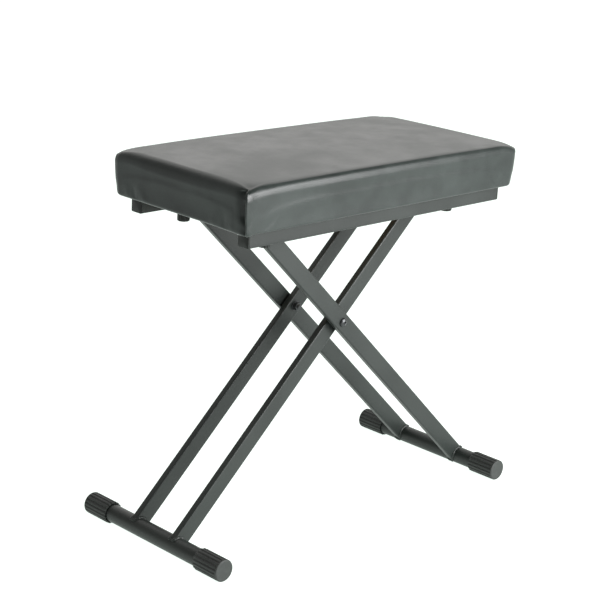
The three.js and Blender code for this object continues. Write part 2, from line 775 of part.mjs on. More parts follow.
// Tracks, with the screws that hold them to the board
for (const side of sides) {
  const trackY = side.sign * knobLine;
  place(bench, `track_${side.name}`, track(), finishes.zincSteel, [0, trackY, (trackTop + trackBottom) / 2]);
  trackScrewPlaces.forEach((x, index) => {
    const length = boardBottom - trackCeiling + screwBite;
    const screw = risingScrew(trackScrewRadius, length, trackScrewHeadRadius, trackScrewHeadHeight);
    const screwZ = trackCeiling - assemblyGap;
    const name = `track_screw_${side.name}_${ends[index].name}`;
    place(bench, name, screw, finishes.zincSteel, [x, trackY, screwZ]);
  });
}

// Blocks, clamp nuts, knobs and knob screws at the four corners
for (const side of sides) {
  for (const end of ends) {
    const label = `${side.name}_${end.name}`;
    const x = end.sign * knobPlace;
    const y = side.sign * knobLine;
    const block = pivotBlock(end.sign, side.sign);
    const blockX = end.sign * crossbarPlace;
    place(bench, `pivot_block_${label}`, block, finishes.plastic, [blockX, 0, crossbarHeight]);
    const nutZ = trackBottom + trackWall + assemblyGap;
    place(bench, `clamp_nut_${label}`, clampNut(), finishes.zincSteel, [x, y, nutZ]);
    place(bench, `knob_${label}`, knob(), finishes.plastic, [x, y, knobTop]);
    const screwBottom = knobTop - knobScrewDepth;
    const screw = rodAlongZ(knobScrewRadius, screwBottom, trackCeiling - assemblyGap, screwSegments);
    place(bench, `knob_screw_${label}`, screw, finishes.zincSteel, [x, y, 0]);
  }
}

// Outer pair: its foot tube is on the right, its crossbar on the left
const outerFrame = legPair('outer', outerPairFace, 1);
pivotHardware(outerFrame);
outerFrame.position.set(0, 0, pivotHeight);
outerFrame.rotation.set(0, standAngle, 0);
bench.add(outerFrame);

// Inner pair: the same frame turned half round, its foot tube on the left
const innerTurn = new THREE.Group();
const innerFrame = legPair('inner', innerPairFace, -1);
innerFrame.position.set(0, 0, pivotHeight);
innerFrame.rotation.set(0, standAngle, 0);
innerTurn.rotation.set(0, 0, halfTurn);
innerTurn.add(innerFrame);
bench.add(innerTurn);

export default bench;
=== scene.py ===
"""Folding keyboard bench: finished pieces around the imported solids, with studio light and a camera.

Sizes of the pieces are in millimetres, in the frame of the solids, and become metres when a piece is made.
Finishes, lights and the camera are in metres.
"""

from __future__ import annotations

import json
import logging
import math
from dataclasses import dataclass, field
from enum import Enum
from itertools import product
from typing import Callable, Iterable, Mapping, Sequence

import bpy
from mathutils import Matrix, Vector, kdtree, noise

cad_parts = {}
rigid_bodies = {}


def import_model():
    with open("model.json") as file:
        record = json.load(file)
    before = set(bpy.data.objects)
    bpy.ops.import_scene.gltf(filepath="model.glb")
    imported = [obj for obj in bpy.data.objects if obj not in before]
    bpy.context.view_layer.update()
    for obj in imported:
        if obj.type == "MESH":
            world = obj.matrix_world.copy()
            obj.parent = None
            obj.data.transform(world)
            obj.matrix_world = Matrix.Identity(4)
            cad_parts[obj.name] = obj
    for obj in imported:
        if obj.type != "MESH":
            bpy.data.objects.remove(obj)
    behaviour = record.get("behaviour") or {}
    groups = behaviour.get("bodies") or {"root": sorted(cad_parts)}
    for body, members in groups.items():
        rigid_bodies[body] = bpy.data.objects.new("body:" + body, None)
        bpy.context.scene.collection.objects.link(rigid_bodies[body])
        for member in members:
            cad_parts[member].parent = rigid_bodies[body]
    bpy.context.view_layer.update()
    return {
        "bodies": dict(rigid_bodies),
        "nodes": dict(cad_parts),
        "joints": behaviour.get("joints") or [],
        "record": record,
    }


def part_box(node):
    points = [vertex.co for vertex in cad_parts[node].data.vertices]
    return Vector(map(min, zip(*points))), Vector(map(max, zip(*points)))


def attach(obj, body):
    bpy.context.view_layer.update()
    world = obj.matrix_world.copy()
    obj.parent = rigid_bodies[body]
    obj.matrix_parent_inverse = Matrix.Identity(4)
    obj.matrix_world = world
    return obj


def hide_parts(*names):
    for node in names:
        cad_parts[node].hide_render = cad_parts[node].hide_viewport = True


LOG = logging.getLogger("bench")
METRES = 0.001
SIXTH = math.pi / 3
QUARTER = math.pi / 2
HALF = math.pi
FULL = 2 * math.pi

Ring = list[Vector]
Outline = list[tuple[float, float]]
Bend = tuple[float, float, float]
Corners = tuple[float, float, float, float]
Counts = tuple[int, int, int]
Colour = tuple[float, ...]


def clamp(value: float) -> float:
    """Value kept between 0 and 1."""
    return min(max(value, 0.0), 1.0)


def smooth(value: float) -> float:
    """Smooth step from 0 to 1."""
    share = clamp(value)
    return share * share * (3 - 2 * share)


def fading(distance: float, reach: float) -> float:
    """Bell curve that is 1 at no distance and about a third at its reach."""
    return math.exp(-((distance / reach) ** 2))


class Place(Enum):
    """Named place on the bench, with the sign of its coordinate."""

    @property
    def word(self) -> str:
        """Name of this place as the nodes use it."""
        return self.name.lower()


class Side(Place):
    """Long side of the bench, with the sign of its Y."""

    FRONT = -1
    REAR = 1


class End(Place):
    """Short end of the bench, with the sign of its X."""

    LEFT = -1
    RIGHT = 1


class Pair(Enum):
    """Pair of legs, named as the nodes name it."""

    OUTER = "outer"
    INNER = "inner"


class Slot(Enum):
    """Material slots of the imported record."""

    VINYL = "vinyl"
    BOARD = "board"
    PAINT = "black_paint"
    RUBBER = "rubber"
    PLASTIC = "plastic"
    ZINC = "zinc_steel"
    BLACK_STEEL = "black_steel"


class Signal:
    """A shader socket that takes part in Python expressions."""

    def __init__(self, board: "ShaderBoard", socket: bpy.types.NodeSocket) -> None:
        """Keep the socket and the board that its node is on."""
        self.board = board
        self.socket = socket

    def _with(self, operation: str, first: "Signal | float", second: "Signal | float") -> "Signal":
        """Result of a new Math node on two values."""
        return self.board.node("ShaderNodeMath", {"operation": operation}, {0: first, 1: second})

    def __add__(self, other: "Signal | float") -> "Signal":
        """Sum."""
        return self._with("ADD", self, other)

    __radd__ = __add__

    def __sub__(self, other: "Signal | float") -> "Signal":
        """Difference."""
        return self._with("SUBTRACT", self, other)

    def __rsub__(self, other: float) -> "Signal":
        """Difference from a number."""
        return self._with("SUBTRACT", other, self)

    def __mul__(self, other: "Signal | float") -> "Signal":
        """Product."""
        return self._with("MULTIPLY", self, other)

    __rmul__ = __mul__


class ShaderBoard:
    """Node tree of one material or of the world."""

    def __init__(self, tree: bpy.types.NodeTree) -> None:
        """Empty the tree to build in."""
        self.tree = tree
        tree.nodes.clear()

    def node(
        self,
        kind: str,
        settings: Mapping[str, object] | None = None,
        sockets: Mapping[str | int, object] | None = None,
        output: str | int = 0,
    ) -> Signal:
        """Add a node.

        Args:
            kind: Blender's name for the node type.
            settings: Properties to set first.
            sockets: Value or signal for each named or numbered input.
            output: Output to hand back.

        Returns:
            The chosen output, or the first input of a node that has none.
        """
        made = self.tree.nodes.new(kind)
        for key, value in (settings or {}).items():
            setattr(made, key, value)
        for key, value in (sockets or {}).items():
            if isinstance(value, Signal):
                self.tree.links.new(value.socket, made.inputs[key])
            else:
                made.inputs[key].default_value = value
        return Signal(self, made.outputs[output] if len(made.outputs) else made.inputs[0])

    def place(self) -> Signal:
        """Place of a surface point in the row frame, in metres."""
        return self.node("ShaderNodeTexCoord", output="Object")

    def along(self, vector: Signal, way: Sequence[float]) -> Signal:
        """How far a vector reaches along a direction."""
        dot = {"operation": "DOT_PRODUCT"}
        return self.node("ShaderNodeVectorMath", dot, {0: vector, 1: tuple(way)}, "Value")

    def speckle(
        self,
        scale: float,
        detail: float = 3.0,
        roughness: float = 0.5,
        stretch: Sequence[float] = (1, 1, 1),
    ) -> Signal:
        """Noise in the row frame.

        Args:
            scale: Features per metre.
            detail: Octaves.
            roughness: Weight of the fine octaves.
            stretch: Factors on the three axes.

        Returns:
            Noise between 0 and 1.
        """
        scales = tuple(scale * factor for factor in stretch)
        grid = self.node("ShaderNodeMapping", {}, {"Vector": self.place(), "Scale": scales})
        sockets = {"Vector": grid, "Scale": 1.0, "Detail": detail, "Roughness": roughness}
        return self.node("ShaderNodeTexNoise", {"noise_dimensions": "3D"}, sockets)

    def pebbles(self, scale: float, melt: float = 0.4) -> Signal:
        """Rounded cells in the row frame, as in a pressed grain.

        Args:
            scale: Cells per metre.
            melt: How far the cells melt together.

        Returns:
            Distance from each cell's middle.
        """
        sockets = {"Vector": self.place(), "Scale": scale, "Smoothness": melt}
        return self.node("ShaderNodeTexVoronoi", {"feature": "SMOOTH_F1"}, sockets)

    def between(self, low: float, high: float, value: Signal, steps: Sequence[float]) -> Signal:
        """Map a signal smoothly into a range of numbers.

        Args:
            low: Result at the first step.
            high: Result at the second step.
            value: Signal to map.
            steps: Signal values that give low and high.

        Returns:
            The mapped signal.
        """
        start, full = steps
        sockets = {"Value": value, "From Min": start, "From Max": full, "To Min": low, "To Max": high}
        return self.node("ShaderNodeMapRange", {"interpolation_type": "SMOOTHSTEP"}, sockets)

    def mask(self, value: Signal, start: float, full: float) -> Signal:
        """Signal that rises from 0 to 1 between two values of another."""
        return self.between(0.0, 1.0, value, (start, full))

    def blend(self, factor: Signal, first: "Signal | Colour", second: "Signal | Colour") -> Signal:
        """Mix two colours.

        Args:
            factor: 0 gives the first colour and 1 the second.
            first: First colour, with its alpha.
            second: Second colour, with its alpha.

        Returns:
            The mixed colour.
        """
        factor_input, first_input, second_input, colour_output = 0, 6, 7, 2
        sockets = {factor_input: factor, first_input: first, second_input: second}
        return self.node("ShaderNodeMix", {"data_type": "RGBA"}, sockets, colour_output)

    def relief(self, height: Signal, depth: float, strength: float) -> Signal:
        """Normal of a surface with a relief, its depth in metres."""
        return self.node("ShaderNodeBump", {}, {"Height": height, "Distance": depth, "Strength": strength})

    def surface(self, constants: Mapping[str, object], varying: Mapping[str, Signal]) -> None:
        """Finish the tree with a Principled shader.

        Args:
            constants: Inputs that are the same all over.
            varying: Inputs that a signal drives.
        """
        shader = self.node("ShaderNodeBsdfPrincipled", {}, {**constants, **varying})
        self.node("ShaderNodeOutputMaterial", {}, {"Surface": shader})


@dataclass(frozen=True)
class Finish:
    """What every finish has: a name, a base colour and a gloss."""

    name: str
    colour: Colour
    roughness: float

    def material(self) -> bpy.types.Material:
        """Make a material with this finish.

        Returns:
            The new material.
        """
        made = bpy.data.materials.new(self.name)
        made.use_nodes = True
        self.dress(ShaderBoard(made.node_tree))
        return made

    def dress(self, board: ShaderBoard) -> None:
        """Fill the tree of the new material."""
        raise NotImplementedError

    def shade(self, factor: float) -> Colour:
        """Base colour times a factor, with full alpha."""
        return (*(channel * factor for channel in self.colour), 1.0)

    def toned(self, board: ShaderBoard, tone: Signal, dark: float, pale: float) -> Signal:
        """Base colour that goes from a dark to a pale shade of itself as the tone rises."""
        return board.blend(tone, self.shade(dark), self.shade(pale))

    def gloss(
        self,
        board: ShaderBoard,
        wander: Signal,
        below: float,
        above: float,
        steps: Sequence[float],
    ) -> Signal:
        """Roughness that wanders about the finish's own.

        Args:
            board: Board of the material.
            wander: Signal that it follows.
            below: How far it goes below the finish's roughness.
            above: How far it goes above.
            steps: Values of the signal at the two limits.

        Returns:
            The roughness.
        """
        return board.between(self.roughness - below, self.roughness + above, wander, steps)


@dataclass(frozen=True)
class Vinyl(Finish):
    """Upholstery vinyl with a fine pressed grain and a little mottling."""

    grain: float = 620.0
    crease: float = 124.0
    grain_depth: float = 0.00016
    mottle: float = 22.0
    cloud: float = 5.0

    def dress(self, board: ShaderBoard) -> None:
        """Fill the tree: mottled colour, uneven gloss and grain.

        Args:
            board: Board of the new material.
        """
        mottle = board.speckle(self.mottle, 4.0, 0.6)
        cloud = board.speckle(self.cloud, 2.0)
        pores = board.pebbles(self.grain)
        creases = board.speckle(self.crease)
        tone = board.mask(mottle * 0.6 + cloud * 0.4, 0.36, 0.64)
        varying = {
            "Base Color": self.toned(board, tone, dark=0.8, pale=1.22),
            "Roughness": self.gloss(board, cloud * 0.5 + mottle * 0.5, 0.04, 0.05, (0.35, 0.65)),
            "Normal": board.relief(pores * 0.7 + creases * 0.6, self.grain_depth, 0.55),
        }
        board.surface({"IOR": 1.4}, varying)


@dataclass(frozen=True)
class PowderCoat(Finish):
    """Satin powder coat with orange peel, rubbed spots and a few dust specks."""

    peel: float = 380.0
    peel_depth: float = 0.00009
    drift: float = 9.0
    speck: float = 1400.0
    speck_share: float = 0.35
    rub: float = 70.0
    rub_share: float = 0.25

    def dress(self, board: ShaderBoard) -> None:
        """Fill the tree: colour with specks, uneven gloss and orange peel.

        Args:
            board: Board of the new material.
        """
        drift = board.speckle(self.drift, 2.0)
        peel = board.speckle(self.peel, 2.0, 0.4)
        dust = board.mask(board.speckle(self.speck, 1.0), 0.68, 0.78)
        rubbed = board.mask(board.speckle(self.rub, 5.0, 0.65), 0.64, 0.74)
        coat = self.toned(board, board.mask(drift, 0.35, 0.65), dark=0.86, pale=1.16)
        worn = dust * self.speck_share + rubbed * self.rub_share
        varying = {
            "Base Color": board.blend(worn, coat, self.shade(3.0)),
            "Roughness": self.gloss(board, drift * 0.6 + peel * 0.4, 0.03, 0.05, (0.35, 0.65)),
            "Normal": board.relief(peel, self.peel_depth, 0.6),
        }
        board.surface({"IOR": 1.39}, varying)


@dataclass(frozen=True)
class Rubber(Finish):
    """Moulded rubber, matt, with scuffs that lighten it a little."""

    tooth: float = 900.0
    tooth_depth: float = 0.00012
    scuff: float = 120.0

    def dress(self, board: ShaderBoard) -> None:
        """Fill the tree: scuffed colour, matt gloss and a fine tooth.

        Args:
            board: Board of the new material.
        """
        scuffs = board.mask(board.speckle(self.scuff, 5.0, 0.65), 0.5, 0.72)
        tooth = board.speckle(self.tooth, 2.0)
        varying = {
            "Base Color": self.toned(board, scuffs * 0.5, dark=1.0, pale=2.1),
            "Roughness": self.gloss(board, scuffs, 0.0, 0.14, (0.0, 1.0)),
            "Normal": board.relief(tooth, self.tooth_depth, 0.5),
        }
        board.surface({"IOR": 1.44}, varying)


@dataclass(frozen=True)
class MouldedPlastic(Finish):
    """Moulded plastic with a spark-eroded texture and flow shading."""

    texture: float = 1100.0
    texture_depth: float = 0.00008
    flow: float = 35.0
    flow_stretch: Bend = (1.0, 1.0, 2.4)

    def dress(self, board: ShaderBoard) -> None:
        """Fill the tree: flow-shaded colour, uneven gloss and texture.

        Args:
            board: Board of the new material.
        """
        flow = board.speckle(self.flow, stretch=self.flow_stretch)
        texture = board.speckle(self.texture, 2.0)
        varying = {
            "Base Color": self.toned(board, board.mask(flow, 0.35, 0.7), dark=0.85, pale=1.35),
            "Roughness": self.gloss(board, flow, 0.04, 0.08, (0.3, 0.7)),
            "Normal": board.relief(texture, self.texture_depth, 0.5),
        }
        board.surface({"IOR": 1.38}, varying)


@dataclass(frozen=True)
class PlatedSteel(Finish):
    """Plated or blackened steel with fine drawing lines."""

    metal: float = 1.0
    cloud: float = 60.0
    lines: float = 900.0
    line_depth: float = 0.00004
    line_stretch: Bend = (0.05, 1.0, 1.0)

    def dress(self, board: ShaderBoard) -> None:
        """Fill the tree: cloudy colour, lined gloss and a fine relief.

        Args:
            board: Board of the new material.
        """
        cloud = board.speckle(self.cloud, 4.0, 0.6)
        lines = board.speckle(self.lines, 2.0, stretch=self.line_stretch)
        varying = {
            "Base Color": self.toned(board, board.mask(cloud, 0.3, 0.7), dark=0.78, pale=1.12),
            "Roughness": self.gloss(board, lines * 0.5 + cloud * 0.5, 0.07, 0.1, (0.3, 0.7)),
            "Normal": board.relief(lines, self.line_depth, 0.4),
        }
        board.surface({"Metallic": self.metal}, varying)


@dataclass(frozen=True)
class Plywood(Finish):
    """Raw plywood, its grain along the seat."""

    warp: float = 6.0
    warp_stretch: Bend = (0.3, 1.0, 1.0)
    grain: float = 60.0
    grain_stretch: Bend = (0.05, 1.0, 1.0)
    grain_depth: float = 0.00025
    pore: float = 900.0
    pore_stretch: Bend = (0.06, 1.0, 1.0)

    def dress(self, board: ShaderBoard) -> None:
        """Fill the tree: grain, pores and a dry surface.

        Args:
            board: Board of the new material.
        """
        warp = board.speckle(self.warp, 2.0, stretch=self.warp_stretch)
        streaks = board.speckle(self.grain, 4.0, 0.6, self.grain_stretch)
        pores = board.speckle(self.pore, 2.0, stretch=self.pore_stretch)
        tone = board.mask(streaks * 0.7 + warp * 0.3, 0.35, 0.65)
        wood = self.toned(board, tone, dark=0.62, pale=1.25)
        varying = {
            "Base Color": board.blend(board.between(0.0, 0.6, pores, (0.58, 0.75)), wood, self.shade(0.4)),
            "Normal": board.relief(streaks * 0.5 + pores * 0.5, self.grain_depth, 0.6),
        }
        board.surface({"Roughness": self.roughness}, varying)


@dataclass(frozen=True)
class StudioWhite(Finish):
    """Pale studio floor that glows less beside the sweep under the bench and near the camera."""

    glow: float = 1.0
    bright: Colour = (0.96, 1.06, 1.0, 1.0)
    dull: Colour = (0.55, 0.55, 0.55, 1.0)
    unevenness: float = 0.7
    left_narrowing: float = 0.25

    def dress(self, board: ShaderBoard) -> None:
        """Fill the tree: pale paper with a faint unevenness, and the glow of the sweep.

        Args:
            board: Board of the new material.
        """
        paper = board.speckle(self.unevenness, 2.0)
        place = board.place()
        diagonal = math.sqrt(0.5)
        across = board.along(place, (-diagonal, diagonal, 0.0))
        ahead = board.along(place, (diagonal, diagonal, 0.0))
        aside = across + board.between(self.left_narrowing, 0.0, ahead, (0.5, 2.0))
        sweep = board.between(1.0, 0.0, aside * aside, (3.1, 6.2)) * board.mask(ahead, -1.4, -0.6)
        varying = {
            "Base Color": self.toned(board, board.mask(paper, 0.3, 0.7), dark=0.97, pale=1.0),
            "Emission Color": board.blend(sweep, self.dull, self.bright),
        }
        board.surface({"Roughness": self.roughness, "Emission Strength": self.glow, "IOR": 1.2}, varying)


FINISHES: dict[Slot, Finish] = {
    Slot.VINYL: Vinyl("seat_vinyl", (0.0190, 0.0248, 0.0226), 0.33),
    Slot.PAINT: PowderCoat("satin_black_paint", (0.0165, 0.0205, 0.0185), 0.40),
    Slot.RUBBER: Rubber("cap_rubber", (0.025, 0.0285, 0.0265), 0.55),
    Slot.PLASTIC: MouldedPlastic("black_plastic", (0.005, 0.007, 0.0055), 0.46),
    Slot.ZINC: PlatedSteel("zinc_plate", (0.52, 0.54, 0.55), 0.34),
    Slot.BLACK_STEEL: PlatedSteel("black_steel", (0.055, 0.058, 0.06), 0.3, metal=0.7),
    Slot.BOARD: Plywood("raw_plywood", (0.42, 0.28, 0.16), 0.75),
}


@dataclass
class Shape:
    """Points and faces of a piece, in millimetres."""

    points: list[Vector] = field(default_factory=list)
    faces: list[tuple[int, ...]] = field(default_factory=list)

    def skin(
        self,
        rings: Sequence[Ring],
        closed: bool = False,
        first: Vector | None = None,
        last: Vector | None = None,
    ) -> "Shape":
        """Add a skin over rings of equal count.

        Args:
            rings: Rings of points, each going round the same way.
            closed: Whether the last ring joins the first.
            first: Point that closes the first ring.
            last: Point that closes the last ring.

        Returns:
            This shape.
        """
        base = len(self.points)
        count = len(rings[0])
        for ring in rings:
            self.points.extend(ring)
        for index in range(len(rings) if closed else len(rings) - 1):
            low = base + index * count
            high = base + (index + 1) % len(rings) * count
            for step in range(count):
                after = (step + 1) % count
                self.faces.append((low + step, low + after, high + after, high + step))
        if first is not None:
            self._fan(base, count, first, True)
        if last is not None:
            self._fan(base + (len(rings) - 1) * count, count, last, False)
        return self

    def _fan(self, start: int, count: int, tip: Vector, turned: bool) -> None:
        """Close a ring to a point.

        Args:
            start: Index of the ring's first point.
            count: Points in the ring.
            tip: Closing point.
            turned: Whether the faces go the other way round.
        """
        self.points.append(tip)
        end = len(self.points) - 1
        for step in range(count):
            edge = (start + step, start + (step + 1) % count)
            self.faces.append((edge[1], edge[0], end) if turned else (*edge, end))

    def flipped(self) -> "Shape":
        """Same shape with its faces turned over."""
        return Shape(self.points, [tuple(reversed(face)) for face in self.faces])

    def moved(self, matrix: Matrix) -> "Shape":
        """Copy of the shape at another place."""
        return Shape([matrix @ point for point in self.points], list(self.faces))

    def plus(self, other: "Shape") -> "Shape":
        """Both shapes in one.

        Args:
            other: Shape to add.

        Returns:
            The new shape.
        """
        base = len(self.points)
        faces = self.faces + [tuple(base + corner for corner in face) for face in other.faces]
        return Shape(self.points + other.points, faces)

    def mesh(self, name: str, sharp: float) -> bpy.types.Mesh:
        """Make a mesh in metres.

        Args:
            name: Its name.
            sharp: Angle in degrees above which an edge stays sharp.

        Returns:
            The new mesh.
        """
        made = bpy.data.meshes.new(name)
        made.from_pydata([point * METRES for point in self.points], [], self.faces)
        made.validate()
        for polygon in made.polygons:
            polygon.use_smooth = True
        made.set_sharp_from_angle(angle=math.radians(sharp))
        made.update()
        return made


def rounded_outline(width: float, height: float, radius: float, counts: Counts) -> Outline:
    """Rounded rectangle as points, counterclockwise.

    Args:
        width: Full size along the first axis.
        height: Full size along the second axis.
        radius: Corner radius.
        counts: Steps round each corner, along each side on the first axis and on the second.

    Returns:
        The outline.
    """
    right, top = width / 2 - radius, height / 2 - radius
    corners = [(right, top), (-right, top), (-right, -top), (right, -top)]
    outline: Outline = []
    for index, (x, y) in enumerate(corners):
        start = index * QUARTER
        arc = [start + QUARTER * step / counts[0] for step in range(counts[0] + 1)]
        outline.extend((x + radius * math.cos(turn), y + radius * math.sin(turn)) for turn in arc)
        next_x, next_y = corners[(index + 1) % 4]
        x0, y0 = outline[-1]
        x1 = next_x + radius * math.cos(start + QUARTER)
        y1 = next_y + radius * math.sin(start + QUARTER)
        steps = counts[1] if index % 2 == 0 else counts[2]
        for share in (step / steps for step in range(1, steps)):
            outline.append((x0 + (x1 - x0) * share, y0 + (y1 - y0) * share))
    return outline


def lathe(
    profile: Sequence[tuple[float, ...]],
    steps: int,
    groove: Callable[[float, float], float] | None = None,
) -> Shape:
    """Turn a profile round Z.

    Args:
        profile: Radius, height and share of the grooves of each ring. A radius of 0 at either end
            closes the shape there, and a ring without a share has no grooves.
        steps: Points in each ring.
        groove: Takes a turn and a ring's share of the grooves, and returns what comes off the radius.

    Returns:
        The turned shape.
    """
    rings: list[Ring] = []
    first = last = None
    for index, (radius, height, *shares) in enumerate(profile):
        if radius == 0:
            tip = Vector((0, 0, height))
            first, last = (tip, last) if index == 0 else (first, tip)
            continue
        ring = []
        for turn in (FULL * step / steps for step in range(steps)):
            size = radius - (groove(turn, shares[0]) if groove and shares else 0)
            ring.append(Vector((size * math.cos(turn), size * math.sin(turn), height)))
        rings.append(ring)
    return Shape().skin(rings, first=first, last=last)


def pipe(radius: float, wall: float, half: float, steps: int) -> Shape:
    """Round tube along Z, centred.

    Args:
        radius: Outer radius.
        wall: Thickness of its wall.
        half: Half its length.
        steps: Points round it.

    Returns:
        The tube.
    """
    bore = radius - wall
    return lathe([(radius, -half), (radius, half), (bore, half), (bore, -half), (radius, -half)], steps)


@dataclass(frozen=True)
class Bead:
    """Weld bead, rippled as it was laid."""

    radius: float
    ripple: float
    points: int = 10
    flatness: float = 0.8
    scallop_rate: float = 2.6
    scallop_share: float = 0.45
    lump_rate: float = 0.16
    lump_share: float = 1.1

    def along(self, path: Sequence[Vector], outward: Sequence[Vector], seed: float, closed: bool) -> Shape:
        """Lay the bead along a path.

        Args:
            path: Points along the joint.
            outward: Direction away from the metal at each point.
            seed: Moves the pattern of the lumps.
            closed: Whether the path is a loop.

        Returns:
            The bead.
        """
        rings: list[Ring] = []
        travelled = 0.0
        for index, point in enumerate(path):
            before = path[index - 1] if closed or index else point
            after = path[(index + 1) % len(path)] if closed or index + 1 < len(path) else point
            travelled += (point - before).length if index else 0.0
            ahead = (after - before).normalized()
            up = (outward[index] - ahead * outward[index].dot(ahead)).normalized()
            across = ahead.cross(up)
            size = self._size(travelled, seed)
            ring = []
            for turn in (FULL * step / self.points for step in range(self.points)):
                rise = size * self.flatness * math.sin(turn)
                ring.append(point + across * (size * math.cos(turn)) + up * rise)
            rings.append(ring)
        if closed:
            return Shape().skin(rings, closed=True)
        return Shape().skin(rings, first=path[0], last=path[-1])

    def _size(self, travelled: float, seed: float) -> float:
        """Radius after a length of bead, with its scallops and lumps.

        Args:
            travelled: Length laid so far.
            seed: Moves the pattern of the lumps.

        Returns:
            The radius there.
        """
        scallop = 0.5 + 0.5 * math.cos(travelled * self.scallop_rate)
        lump = noise.noise(Vector((travelled * self.lump_rate, seed, 0.0)))
        return self.radius * (1 + self.ripple * (self.scallop_share * scallop + self.lump_share * lump))


@dataclass
class Workshop:
    """Makes the pieces and keeps count of them."""

    frame: dict
    materials: dict[Slot, bpy.types.Material] = field(default_factory=dict)
    made: int = 0

    def coat(self, slot: Slot) -> bpy.types.Material:
        """Material of a slot, made at its first use.

        Args:
            slot: Slot of the record.

        Returns:
            The material.
        """
        if slot not in self.materials:
            self.materials[slot] = FINISHES[slot].material()
        return self.materials[slot]

    def piece(
        self,
        name: str,
        shape: Shape,
        slot: Slot,
        body: str,
        nodes: Iterable[str] = (),
        sharp: float = 32.0,
    ) -> bpy.types.Object:
        """Make a piece that rides on a body.

        Args:
            name: Name of the piece.
            shape: Its shape in millimetres, in the row frame.
            slot: Its material slot.
            body: Body that it rides on.
            nodes: Nodes of the solids that it stands for.
            sharp: Angle in degrees above which its edges stay sharp.

        Returns:
            The new object.
        """
        made = bpy.data.objects.new(name, shape.mesh(name, sharp))
        bpy.context.scene.collection.objects.link(made)
        made.data.materials.append(self.coat(slot))
        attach(made, body)
        if nodes:
            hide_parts(*nodes)
        self.made += 1
        LOG.info("piece %s on %s, %d faces", made.name, body, len(made.data.polygons))
        return made

    def keep(self, node: str, slot: Slot, bevel: float = 0.0) -> None:
        """Show a node of the solids with a finish.

        Args:
            node: Name of the node.
            slot: Its material slot.
            bevel: Width in millimetres that eases its edges, or 0.
        """
        solid = self.frame["nodes"][node]
        solid.data.materials.clear()
        solid.data.materials.append(self.coat(slot))
        if bevel:
            weld = solid.modifiers.new("weld", "WELD")
            weld.merge_threshold = 0.01 * METRES
            ease = solid.modifiers.new("ease", "BEVEL")
            ease.width = bevel * METRES
            ease.segments = 2
            ease.limit_method = "ANGLE"
            ease.angle_limit = math.radians(40)
            ease.harden_normals = True
        LOG.info("node %s kept", node)


@dataclass
class Stance:
    """Where the crossed legs stand, as the solids have them."""

    angle: float = math.radians(43.8)
    lower_reach: float = 448.9
    upper_reach: float = 275.0
    foot_axis: float = 18.05 * math.cos(math.radians(4.6))

    @property
    def pivot_height(self) -> float:
        """Height of the pivot bolts."""
        return self.foot_axis + self.lower_reach * math.sin(self.angle)

    def place(self, pair: Pair) -> Matrix:
        """Matrix from a pair's own frame, in which X runs down its legs.

        Args:
            pair: Pair of legs.

        Returns:
            The matrix.
        """
        tilt = Matrix.Translation((0, 0, self.pivot_height)) @ Matrix.Rotation(self.angle, 4, "Y")
        return tilt if pair is Pair.OUTER else Matrix.Rotation(HALF, 4, "Z") @ tilt


